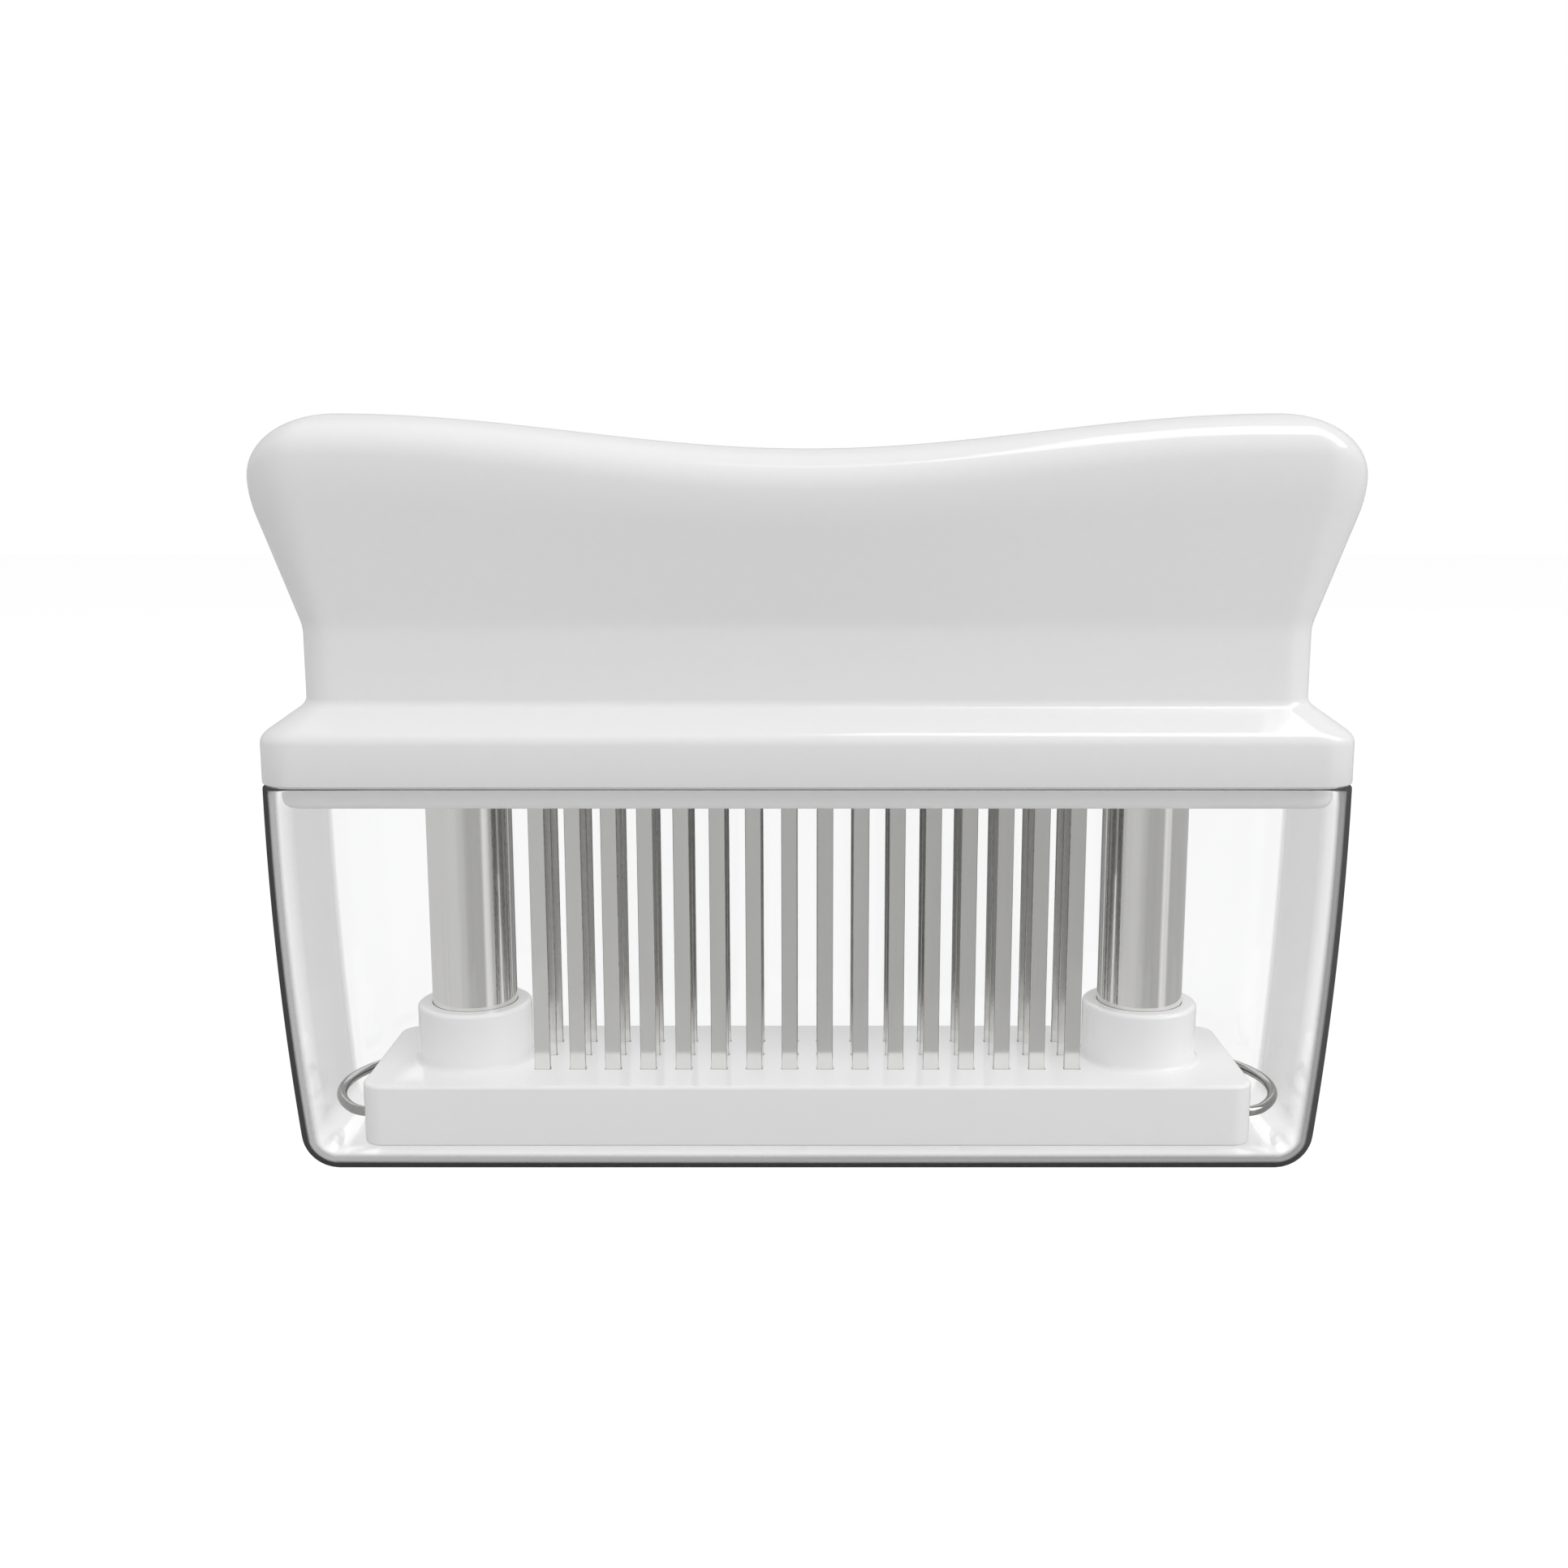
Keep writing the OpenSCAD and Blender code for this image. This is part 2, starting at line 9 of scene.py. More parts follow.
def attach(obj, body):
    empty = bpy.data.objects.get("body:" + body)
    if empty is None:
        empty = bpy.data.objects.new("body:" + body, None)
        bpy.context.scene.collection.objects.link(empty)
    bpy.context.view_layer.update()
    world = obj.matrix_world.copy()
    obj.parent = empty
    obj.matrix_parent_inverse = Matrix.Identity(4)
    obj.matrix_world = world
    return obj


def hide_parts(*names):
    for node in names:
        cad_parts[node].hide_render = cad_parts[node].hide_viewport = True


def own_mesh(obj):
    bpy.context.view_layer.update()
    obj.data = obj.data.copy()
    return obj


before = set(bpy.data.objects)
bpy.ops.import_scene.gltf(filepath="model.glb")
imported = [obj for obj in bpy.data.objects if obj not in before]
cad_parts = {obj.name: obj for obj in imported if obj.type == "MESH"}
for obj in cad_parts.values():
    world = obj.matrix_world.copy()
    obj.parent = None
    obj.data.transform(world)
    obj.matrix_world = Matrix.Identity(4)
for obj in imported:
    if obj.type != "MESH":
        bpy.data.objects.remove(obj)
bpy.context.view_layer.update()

millimetre = 0.001
scene = bpy.context.scene
print("frame loaded with", len(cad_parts), "nodes")

# shared places and sizes in millimetres; past is how far a cutter runs beyond a face
layout = {
    "columnX": 48.0, "rowPitch": 6.0, "bladePitch": 5.0, "bladesPerRow": 16,
    "knifeWidth": 2.2, "knifeThick": 0.8, "rimX": 72.8, "rimY": 17.5, "footZ": 54.6, "lipZ": 51.4,
    "plateZ": 3.6, "plateTop": 12.4, "bossTop": 20.7, "clipZ": 7.8, "springSeat": 21.2,
    "carrierTop": 60.6, "carrierGap": 0.1, "boreTop": 95.0, "past": 1.0,
}
past = layout["past"]
sides = {"left": -1, "right": 1}
rows = {"front": -1, "middle": 0, "rear": 1}
smoothing = {
    "sharpAngle": 35, "spunAngle": 30, "wireAngle": 50, "merge": 2e-6, "sliver": 1e-7,
    "edgeSteps": 6, "leastRadius": 0.05, "segments": 96,
}


def linkPiece(name, mesh):
    piece = bpy.data.objects.new(name, mesh)
    scene.collection.objects.link(piece)
    return piece


def meshFrom(name, points, faces, sharpAngle=smoothing["sharpAngle"]):
    mesh = bpy.data.meshes.new(name)
    mesh.from_pydata([tuple(p) for p in np.asarray(points, float) * millimetre], [], faces)
    tidyMesh(mesh, sharpAngle)
    return mesh


def tidyMesh(mesh, sharpAngle=smoothing["sharpAngle"]):
    # closed seams, normals outwards, smooth faces between sharp edges
    shape = bmesh.new()
    shape.from_mesh(mesh)
    bmesh.ops.remove_doubles(shape, verts=shape.verts, dist=smoothing["merge"])
    bmesh.ops.dissolve_degenerate(shape, edges=shape.edges, dist=smoothing["sliver"])
    bmesh.ops.recalc_face_normals(shape, faces=shape.faces)
    shape.to_mesh(mesh)
    shape.free()
    mesh.shade_smooth()
    mesh.set_sharp_from_angle(angle=math.radians(sharpAngle))


def bakeModifiers(piece):
    # the evaluated shape becomes the piece's own plain mesh
    bpy.context.view_layer.update()
    evaluated = piece.evaluated_get(bpy.context.evaluated_depsgraph_get())
    baked = bpy.data.meshes.new_from_object(evaluated)
    piece.modifiers.clear()
    old = piece.data
    piece.data = baked
    bpy.data.meshes.remove(old)
    baked.name = piece.name


def combine(piece, tools, operation):
    for tool in tools:
        step = piece.modifiers.new(operation.lower(), "BOOLEAN")
        step.operation = operation
        step.solver = "EXACT"
        step.object = tool
    bakeModifiers(piece)
    for tool in tools:
        bpy.data.objects.remove(tool)


def joinPieces(name, pieces):
    # several pieces that don't touch each other, as one
    joined = bmesh.new()
    for piece in pieces:
        joined.from_mesh(piece.data)
        bpy.data.objects.remove(piece)
    mesh = bpy.data.meshes.new(name)
    joined.to_mesh(mesh)
    joined.free()
    return linkPiece(name, mesh)


def cut(piece, *groups):
    # each group is a list of cutters that don't touch each other
    combine(piece, [joinPieces("cuts", group) for group in groups], "DIFFERENCE")


def evenNormals(piece):
    tidyMesh(piece.data)
    weights = piece.modifiers.new("weights", "WEIGHTED_NORMAL")
    weights.keep_sharp = True
    weights.weight = 100
    bakeModifiers(piece)


def roundedRing(x, y, r, cornerSteps, sideSteps, endSteps):
    # anticlockwise from the middle of the +X end; third value: 1 on the ends, 0 along the sides
    points = [(x, (y - r) * i / endSteps, 1.0) for i in range(endSteps)]

    def corner(cx, cy, first):
        for i in range(cornerSteps + 1):
            a = math.radians(first + 90 * i / cornerSteps)
            points.append((cx + r * math.cos(a), cy + r * math.sin(a), math.cos(a) ** 2))

    corner(x - r, y - r, 0)
    points.extend(((x - r) * (1 - 2 * i / sideSteps), y, 0.0) for i in range(1, sideSteps))
    corner(r - x, y - r, 90)
    points.extend((-x, (y - r) * (1 - i / endSteps), 1.0) for i in range(1, 2 * endSteps))
    corner(r - x, r - y, 180)
    points.extend(((x - r) * (2 * i / sideSteps - 1), -y, 0.0) for i in range(1, sideSteps))
    corner(x - r, r - y, 270)
    points.extend((x, (r - y) * (1 - i / endSteps), 1.0) for i in range(1, endSteps))
    return np.array(points)


def flatRing(x, y, r, z, steps):
    ring = roundedRing(x, y, r, *steps)
    ring[:, 2] = z
    return ring


def roundedFoot(x, y, r, low, edge, count, steps):
    # rings up a rounded bottom edge
    rings = []
    for i in range(count + 1):
        a = math.radians(90 * i / count)
        inset = edge * (1 - math.sin(a))
        radius = max(smoothing["leastRadius"], r - inset)
        rings.append(flatRing(x - inset, y - inset, radius, low + edge * (1 - math.cos(a)), steps))
    return rings


def loftMesh(name, rings, sharpAngle=smoothing["sharpAngle"]):
    # rings of equal length, joined upwards and closed at both ends
    count = len(rings[0])
    last = (len(rings) - 1) * count
    faces = []
    for a in range(0, last, count):
        for i in range(count):
            j = (i + 1) % count
            faces.append((a + i, a + j, a + count + j, a + count + i))
    for base, turned in ((0, True), (last, False)):
        for i in range(count // 2):
            loop = [i, i + 1, (count - i - 1) % count, (count - i) % count]
            loop = [base + p for n, p in enumerate(loop) if p not in loop[:n]]
            faces.append(tuple(reversed(loop)) if turned else tuple(loop))
    return meshFrom(name, np.vstack(rings), faces, sharpAngle)


def softBox(name, x, y, r, low, high, edge, steps=(8, 2, 1)):
    # upright corners of radius r, top and bottom edges rounded
    rings = roundedFoot(x, y, r, low, edge, smoothing["edgeSteps"], steps)
    rings += [np.array([[px, py, low + high - pz] for px, py, pz in ring]) for ring in reversed(rings)]
    return linkPiece(name, loftMesh(name, rings))


def spun(name, profile, x=0.0, y=0.0, segments=smoothing["segments"], closed=False):
    # profile: (radius, height) pairs from the bottom upwards
    points, faces = [], []
    for radius, height in profile:
        if radius < 1e-9:
            points.append([(x, y, height)])
            continue
        points.append([
            (x + radius * math.cos(2 * math.pi * i / segments),
             y + radius * math.sin(2 * math.pi * i / segments), height)
            for i in range(segments)
        ])
    starts = np.cumsum([0] + [len(ring) for ring in points])
    pairs = list(zip(range(len(points) - 1), range(1, len(points))))
    if closed:
        pairs.append((len(points) - 1, 0))
    for low, high in pairs:
        for i in range(segments):
            j = (i + 1) % segments
            lowLoop = [starts[low] + i, starts[low] + j] if len(points[low]) > 1 else [starts[low]]
            highLoop = [starts[high] + j, starts[high] + i] if len(points[high]) > 1 else [starts[high]]
            faces.append(tuple(int(v) for v in lowLoop + highLoop))
    corners = [p for ring in points for p in ring]
    return linkPiece(name, meshFrom(name, corners, faces, smoothing["spunAngle"]))


def onColumns(name, profile):
    # the same round shape on each column's axis
    return [spun(name, profile, side * layout["columnX"]) for side in sides.values()]


def arc(cx, cz, r, first, last, steps):
    angles = [math.radians(first + (last - first) * i / steps) for i in range(steps + 1)]
    return [(cx + r * math.cos(a), cz + r * math.sin(a)) for a in angles]


def cutterBox(low, high):
    points = [(x, y, z) for x in (low[0], high[0]) for y in (low[1], high[1]) for z in (low[2], high[2])]
    faces = [(0, 1, 3, 2), (4, 6, 7, 5), (0, 4, 5, 1), (2, 3, 7, 6), (0, 2, 6, 4), (1, 5, 7, 3)]
    return linkPiece("box", meshFrom("box", points, faces))


def knifePlaces():
    half = (layout["bladesPerRow"] - 1) / 2
    return [(i - half) * layout["bladePitch"] for i in range(layout["bladesPerRow"])]


def knifeCutters(row, halfX, fit, low, high):
    # one box for each knife of a row; halfX is half its length along the row
    y, halfY = row * layout["rowPitch"], layout["knifeThick"] / 2 + fit
    return [cutterBox((x - halfX, y - halfY, low), (x + halfX, y + halfY, high)) for x in knifePlaces()]


def place(piece, body, nodes, finish, slotName):
    piece.data.materials.clear()
    piece.data.materials.append(finishes[finish])
    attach(piece, body)
    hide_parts(*nodes)
    return piece


noiseSpan = {"low": 0.3, "high": 0.7}  # most of a noise lies between these


class Nodes:
    def __init__(self, tree):
        self.tree = tree

    def feed(self, node, inputs):
        # a socket takes a plain value, or the output that drives it
        for socket, value in inputs.items():
            if isinstance(value, bpy.types.NodeSocket):
                self.tree.links.new(value, node.inputs[socket])
            else:
                node.inputs[socket].default_value = value

    def add(self, kind, inputs=None, **settings):
        node = self.tree.nodes.new(kind)
        for key, value in settings.items():
            setattr(node, key, value)
        self.feed(node, inputs or {})
        return node

    def math(self, operation, *values):
        return self.add("ShaderNodeMath", dict(enumerate(values)), operation=operation).outputs[0]

    def spread(self, source, low, high, fromLow=noiseSpan["low"], fromHigh=noiseSpan["high"], **settings):
        limits = {"From Min": fromLow, "From Max": fromHigh, "To Min": low, "To Max": high}
        return self.add("ShaderNodeMapRange", {"Value": source, **limits}, **settings).outputs["Result"]

    def ramp(self, source, stops):
        # stops: (position, colour) pairs
        node = self.add("ShaderNodeValToRGB", {"Fac": source})
        elements = node.color_ramp.elements
        for k, (position, colour) in enumerate(stops):
            stop = elements[k] if k < 2 else elements.new(1.0)
            stop.position = position
            stop.color = (*colour, 1)
        return node.outputs["Color"]

    def mix(self, kind, share, first, second):
        inputs = {"Factor": share, "A": first, "B": second}
        return self.add("ShaderNodeMix", inputs, data_type=kind).outputs["Result"]

    def mixShaders(self, share, first, second):
        return self.add("ShaderNodeMixShader", {"Fac": share, 1: first, 2: second}).outputs["Shader"]

    def rayKinds(self):
        # what the camera sees, also through clear plastic, and what a polished surface shows
        path = self.add("ShaderNodeLightPath").outputs
        reflected = self.math("GREATER_THAN", path["Glossy Depth"], 0.5)
        direct = self.math("MAXIMUM", path["Is Camera Ray"], path["Is Transmission Ray"])
        seen = self.math("MAXIMUM", self.math("SUBTRACT", direct, reflected), 0.0)
        polished = self.math("MAXIMUM", path["Is Glossy Ray"], path["Is Transmission Ray"])
        return seen, self.math("MULTIPLY", polished, reflected)


def grey(value):
    return (value, value, value)


class Finish(Nodes):
    def __init__(self, name, **sockets):
        self.material = bpy.data.materials.new(name)
        self.material.use_nodes = True
        super().__init__(self.material.node_tree)
        self.shader = self.tree.nodes["Principled BSDF"]
        self.coordinates = self.add("ShaderNodeTexCoord").outputs
        self.feed(self.shader, sockets)

    def noise(self, stretch, scale, detail=3.0, roughness=0.5):
        mapping = self.add("ShaderNodeMapping", {"Vector": self.coordinates["Object"], "Scale": stretch})
        pattern = {"Vector": mapping.outputs["Vector"], "Scale": scale, "Detail": detail}
        return self.add("ShaderNodeTexNoise", {**pattern, "Roughness": roughness}).outputs["Fac"]

    def tint(self, source, low, high):
        return self.ramp(source, ((noiseSpan["low"], low), (noiseSpan["high"], high)))

    def bump(self, source, strength, distance):
        bump = self.add("ShaderNodeBump", {"Height": source, "Strength": strength, "Distance": distance})
        self.feed(self.shader, {"Normal": bump.outputs["Normal"]})


mouldedSkin = {"index": 1.46, "scale": 900, "depth": 0.00002}
groundLines = {
    "detail": 5, "contrast": 0.65, "depth": 0.00001, "cloudStretch": (1, 1, 0.5), "cloudScale": 60,
    "speckle": (2200, 4, 0.7), "speckleSpan": (0.4, 0.6),  # scale, detail and contrast
    # the side values below fit a knife's punched sides; the last of them sets how deep the painted shade
    # there goes
    "sideFacing": (0.6, 0.8), "sideRoughness": (0.22, 0.36), "deepestSideShade": 0.6,
}


def mouldedPlastic(name, low, high, roughness, grain):
    s = mouldedSkin
    finish = Finish(name, IOR=s["index"])
    # the tint follows a fine moulded skin, which also breaks up the gloss
    skin = finish.noise(grey(1), s["scale"])
    finish.feed(finish.shader, {"Base Color": finish.tint(skin, low, high),
                                "Roughness": finish.spread(skin, *roughness)})
    finish.bump(skin, grain, s["depth"])
    return finish.material


def groundSteel(name, low, high, roughness, stretch, scale, scratch, shearedSideShade=None):
    s = groundLines
    finish = Finish(name, Metallic=1.0)
    # drawn or ground lines run along the stretch; broad clouds vary the tone
    lines = finish.noise(stretch, scale, s["detail"], s["contrast"])
    tone = finish.tint(finish.noise(s["cloudStretch"], s["cloudScale"]), low, high)
    rough = finish.spread(lines, *roughness)
    if shearedSideShade:
        # the punched sides of a knife are rougher and speckled; their tone carries painted shade, lowered
        # by how far they face sideways, standing in for the dark the knives reflect between them
        speckle = finish.noise(s["cloudStretch"], *s["speckle"])
        normal = finish.add("ShaderNodeSeparateXYZ", {"Vector": finish.coordinates["Normal"]})
        side = finish.spread(finish.math("ABSOLUTE", normal.outputs["X"]), 0.0, 1.0, *s["sideFacing"])
        amount = finish.spread(speckle, shearedSideShade * s["deepestSideShade"], shearedSideShade, *s["speckleSpan"])
        darker = finish.add("ShaderNodeVectorMath", {0: tone, "Scale": amount}, operation="SCALE")
        tone = finish.mix("RGBA", side, tone, darker.outputs["Vector"])
        rough = finish.mix("FLOAT", side, rough, finish.spread(speckle, *s["sideRoughness"]))
    finish.feed(finish.shader, {"Base Color": tone, "Roughness": rough})
    finish.bump(lines, scratch, s["depth"])
    return finish.material


coverFinish = {
    "index": 1.47, "tintLow": (0.984, 0.985, 0.985), "tintHigh": (0.992, 0.993, 0.993),
    "roughness": (0.0, 0.004), "tintScale": 18, "glossScale": 40, "waveScale": 22, "wave": 0.008,
    "waveDepth": 0.0002,
    "haze": 0.40, "hazeShare": 0.17, "hazeFacing": (0.50, 0.68),
    # the edge values give the painted dark outline: its grey, and how it grows with the facing
    "edge": 0.085, "outlineShadeFacing": ((0.22, 0.0), (0.32, 0.32), (0.46, 0.32), (0.55, 1.0)),
}


def clearPlastic():
    s = coverFinish
    finish = Finish("clearPlastic", **{"IOR": s["index"], "Transmission Weight": 1.0})
    finish.feed(finish.shader, {
        "Base Color": finish.tint(finish.noise(grey(1), s["tintScale"], 2), s["tintLow"], s["tintHigh"]),
        "Roughness": finish.spread(finish.noise(grey(1), s["glossScale"]), *s["roughness"]),
    })
    finish.bump(finish.noise(grey(1), s["waveScale"], 1), s["wave"], s["waveDepth"])
    facing = finish.add("ShaderNodeLayerWeight", {"Blend": 0.5}).outputs["Facing"]
    # walls seen at a low angle show a grey haze
    haze = finish.add("ShaderNodeBsdfDiffuse", {"Color": (*grey(s["haze"]), 1)})
    hazed = finish.mixShaders(finish.spread(facing, 0.0, s["hazeShare"], *s["hazeFacing"]),
                              finish.shader.outputs["BSDF"], haze.outputs["BSDF"])
    # painted shade: a dark diffuse outline on the outer skin's rounded corners and foot, growing where
    # they are seen edge on, stands in for the dark that the curved walls refract
    band = finish.ramp(facing, [(position, grey(share)) for position, share in s["outlineShadeFacing"]])
    corner = finish.add("ShaderNodeAttribute", attribute_name="cornerBand").outputs["Fac"]
    edge = finish.add("ShaderNodeBsdfDiffuse", {"Color": (*grey(s["edge"]), 1)})
    rimmed = finish.mixShaders(finish.math("MULTIPLY", band, corner), hazed, edge.outputs["BSDF"])
    # lamps and soft light pass straight through to what stands inside
    path = finish.add("ShaderNodeLightPath").outputs
    either = finish.math("MAXIMUM", path["Is Shadow Ray"], path["Is Diffuse Ray"])
    through = finish.add("ShaderNodeBsdfTransparent", {"Color": (1, 1, 1, 1)})
    surface = finish.mixShaders(either, rimmed, through.outputs["BSDF"])
    finish.feed(finish.tree.nodes["Material Output"], {"Surface": surface})
    return finish.material


plastics = {
    "handlePlastic": {"low": (0.872, 0.873, 0.872), "high": (0.880, 0.881, 0.880),
                      "roughness": (0.08, 0.10), "grain": 0.02},
    "guardPlastic": {"low": (0.941, 0.942, 0.941), "high": (0.949, 0.950, 0.949),
                     "roughness": (0.09, 0.11), "grain": 0.02},
    "stripPlastic": {"low": (0.60, 0.60, 0.58), "high": (0.66, 0.66, 0.64),
                     "roughness": (0.45, 0.55), "grain": 0.15},
}
steels = {
    # the knife's side value scales the painted shade on its punched sides
    "knifeSteel": {"low": (0.845, 0.838, 0.824), "high": (0.885, 0.878, 0.864), "shearedSideShade": 0.45,
                   "roughness": (0.10, 0.16), "stretch": (1, 1, 0.03), "scale": 2600, "scratch": 0.05},
    "columnSteel": {"low": (0.84, 0.832, 0.818), "high": (0.88, 0.872, 0.858),
                    "roughness": (0.04, 0.09), "stretch": (1, 1, 0.02), "scale": 1500, "scratch": 0.05},
    "wireSteel": {"low": (0.34, 0.336, 0.328), "high": (0.42, 0.415, 0.405),
                  "roughness": (0.10, 0.18), "stretch": (1, 1, 1), "scale": 1200, "scratch": 0.08},
    "screwSteel": {"low": (0.34, 0.336, 0.328), "high": (0.42, 0.415, 0.405),
                   "roughness": (0.22, 0.32), "stretch": (1, 1, 1), "scale": 1800, "scratch": 0.10},
}
finishes = {name: mouldedPlastic(name, **values) for name, values in plastics.items()}
finishes.update({name: groundSteel(name, **values) for name, values in steels.items()})
finishes["clearPlastic"] = clearPlastic()
print("finishes made")

coverSize = {
    "wall": 1.4, "height": 54.3, "bowRadius": 520.0, "sideBow": 0.45, "cornerRadius": 5.2,
    "bottomRadius": 4.8, "rimEdge": 0.3, "rimAngles": (30, 60, 90),
    "steps": (14, 12, 4), "footSteps": 12, "wallSteps": 24, "leastRadius": 0.4, "sharpAngle": 60,
    # how far the painted dark outline reaches in from the corners and up from the foot
    "outlineX": 8.2, "outlineY": 6.2, "outlineFoot": 0.5,
}


def coverRing(inset, z):
    s = coverSize
    bow = (s["height"] - z) ** 2 / (2 * s["bowRadius"])
    return flatRing(layout["rimX"] - bow - inset, layout["rimY"] - s["sideBow"] * bow - inset,
                    max(s["leastRadius"], s["cornerRadius"] - inset), z, s["steps"])


def coverSide(inset):
    # from the floor's edge up to the rim; inset is the wall already taken off
    s = coverSize
    bottom, radius = s["bottomRadius"], s["bottomRadius"] - inset
    rings = []
    for i in range(s["footSteps"] + 1):
        a = math.radians(90 * i / s["footSteps"])
        rings.append(coverRing(inset + radius * (1 - math.sin(a)), bottom - radius * math.cos(a)))
    rise = s["height"] - s["rimEdge"] - bottom
    rings += [coverRing(inset, bottom + rise * i / s["wallSteps"]) for i in range(1, s["wallSteps"] + 1)]
    return rings


def coverRim(inset, sign, angles):
    s = coverSize
    return [coverRing(inset + sign * s["rimEdge"] * (1 - math.cos(math.radians(a))),
                      s["height"] - s["rimEdge"] * (1 - math.sin(math.radians(a)))) for a in angles]


def makeCover():
    s = coverSize
    rings = coverSide(0.0) + coverRim(0.0, 1, s["rimAngles"])
    rings += coverRim(s["wall"], -1, s["rimAngles"][::-1]) + coverSide(s["wall"])[::-1]
    mesh = loftMesh("cover", rings, s["sharpAngle"])
    # the outer skin's rounded corners and bottom edge carry the painted dark outline, which stands in for
    # the dark the walls refract there
    values = []
    for vertex, normal in zip(mesh.vertices, mesh.vertex_normals):
        x, y, z = vertex.co / millimetre
        facing = normal.vector
        outward = facing.x * x / layout["rimX"] + facing.y * y / layout["rimY"]
        inCorner = abs(x) > layout["rimX"] - s["outlineX"] and abs(y) > layout["rimY"] - s["outlineY"]
        atFoot = z < s["bottomRadius"] and facing.z < 0.05
        outside = outward > 0 or (z < s["outlineFoot"] and facing.z < 0)
        values.append(1.0 if outside and (inCorner or atFoot) else 0.0)
    mesh.attributes.new("cornerBand", "FLOAT", "POINT").data.foreach_set("value", values)
    shell = linkPiece("cover_shell", mesh)
    return place(shell, "storage_cover", ["cover"], "clearPlastic", "clear_cover")


makeCover()
print("cover made")

handleSize = {
    "plinthHeight": 6.5, "plinthRadius": 5.2, "footEdge": ((0.25, 0.0), (0.07, 0.08), (0.0, 0.3)),
    "bandRun": 5.1, "bandRise": 3.9, "edgeSoft": 1.0, "footSoft": 0.8,
    "neckHeight": 10.2, "neckRadius": 4.5, "neckSoft": 1.0,
    "flareX": 6.1, "flareY": 3.3, "flareTurn": 0.75, "flareFoot": 0.05,
    "gripRadius": 7.5, "gripHeight": 23.3, "saddleRise": 4.5, "crestIn": 11.9, "endDrop": 8.5,
    "rollRun": 7.0, "rollDrop": 5.6, "topRadius": 0.6, "sharpAngle": 40,
    "steps": (14, 96, 8), "edgeSteps": 7, "softSteps": 6, "flareSteps": 18, "rollSteps": 16,
    "pocketX": 67.0, "pocketY": 12.3, "pocketRadius": 3.0, "pocketSteps": (6, 2, 1),
    "boreRadius": 7.6, "postRadius": 3.2, "postHeight": 5.0, "pastFoot": 2.0,
    "screwX": 60.0, "screwY": 8.2, "screwRadius": 1.5, "screwTop": 70.2, "screwSegments": 24,
}


def screwPlaces():
    return [(i * handleSize["screwX"], j * handleSize["screwY"]) for i in (-1, 1) for j in (-1, 1)]


def softened(a, b, c, steps):
    # rings along the curve that rounds the corner b between a and c
    shares = [i / steps for i in range(steps + 1)]
    return [(1 - t) ** 2 * a + 2 * t * (1 - t) * b + t * t * c for t in shares]


def handleRings():
    s = handleSize
    neckX, neckY = layout["rimX"] - s["bandRun"], layout["rimY"] - s["bandRun"]
    gripX, gripY = neckX + s["flareX"], neckY + s["flareY"]
    foot = layout["footZ"]
    plinthTop = foot + s["plinthHeight"]
    neckZ = plinthTop + s["bandRise"]
    creaseZ = neckZ + s["neckHeight"]
    saddleZ = creaseZ + s["gripHeight"]
    crestX = gripX - s["crestIn"]
    endZ = saddleZ + s["saddleRise"] - s["endDrop"]

    def saddle(x):
        return s["saddleRise"] * (1 - np.cos(np.pi * np.minimum(1, np.abs(x) / crestX))) / 2

    def widest(ring):
        along = saddleZ + saddle(ring[:, 0]) - s["rollDrop"]
        return along * (1 - ring[:, 2]) + endZ * ring[:, 2]

    def band(inset, z):
        r = s["plinthRadius"] + (s["neckRadius"] - s["plinthRadius"]) * inset / s["bandRun"]
        return flatRing(layout["rimX"] - inset, layout["rimY"] - inset, r, z, s["steps"])

    def flareRing(u):
        # straight up to the turn, then easing into the widest line
        turn, lean = s["flareTurn"], 2 / (1 + s["flareTurn"])
        share = lean * u if u < turn else 1 - lean * (1 - u) ** 2 / (2 * (1 - turn))
        ring = roundedRing(neckX + s["flareX"] * share, neckY + s["flareY"] * share,
                           s["neckRadius"] + (s["gripRadius"] - s["neckRadius"]) * share, *s["steps"])
        ring[:, 2] = creaseZ + (widest(ring) - creaseZ) * u
        return ring

    def rollRing(degrees):
        inwards = 1 - math.cos(math.radians(degrees))
        outer = roundedRing(gripX, gripY, s["gripRadius"], *s["steps"])
        inner = roundedRing(gripX - s["crestIn"] * inwards, gripY - s["rollRun"] * inwards,
                            s["gripRadius"] - (s["gripRadius"] - s["topRadius"]) * inwards, *s["steps"])
        base = widest(outer)
        inner[:, 2] = base + (saddleZ + saddle(inner[:, 0]) - base) * math.sin(math.radians(degrees))
        return inner

    slope = s["bandRise"] / s["bandRun"]
    run, edge, soft, first = s["bandRun"], s["edgeSoft"], s["footSoft"], s["flareFoot"]
    rings = [band(inset, foot + rise) for inset, rise in s["footEdge"]]
    rings += softened(band(0, plinthTop - edge), band(0, plinthTop),
                      band(edge, plinthTop + edge * slope), s["edgeSteps"])
    rings += softened(band(run - soft, neckZ - soft * slope), band(run, neckZ), band(run, neckZ + soft),
                      s["softSteps"])
    neck = flatRing(neckX, neckY, s["neckRadius"], creaseZ, s["steps"])
    below = neck - np.array([0, 0, s["neckSoft"]])
    rings += softened(below, neck, flareRing(first), s["softSteps"])
    flares, rolls = s["flareSteps"], s["rollSteps"]
    rings += [flareRing(first + (1 - first) * i / flares) for i in range(1, flares + 1)]
    rings += [rollRing(90 * i / rolls) for i in range(1, rolls + 1)]
    return rings


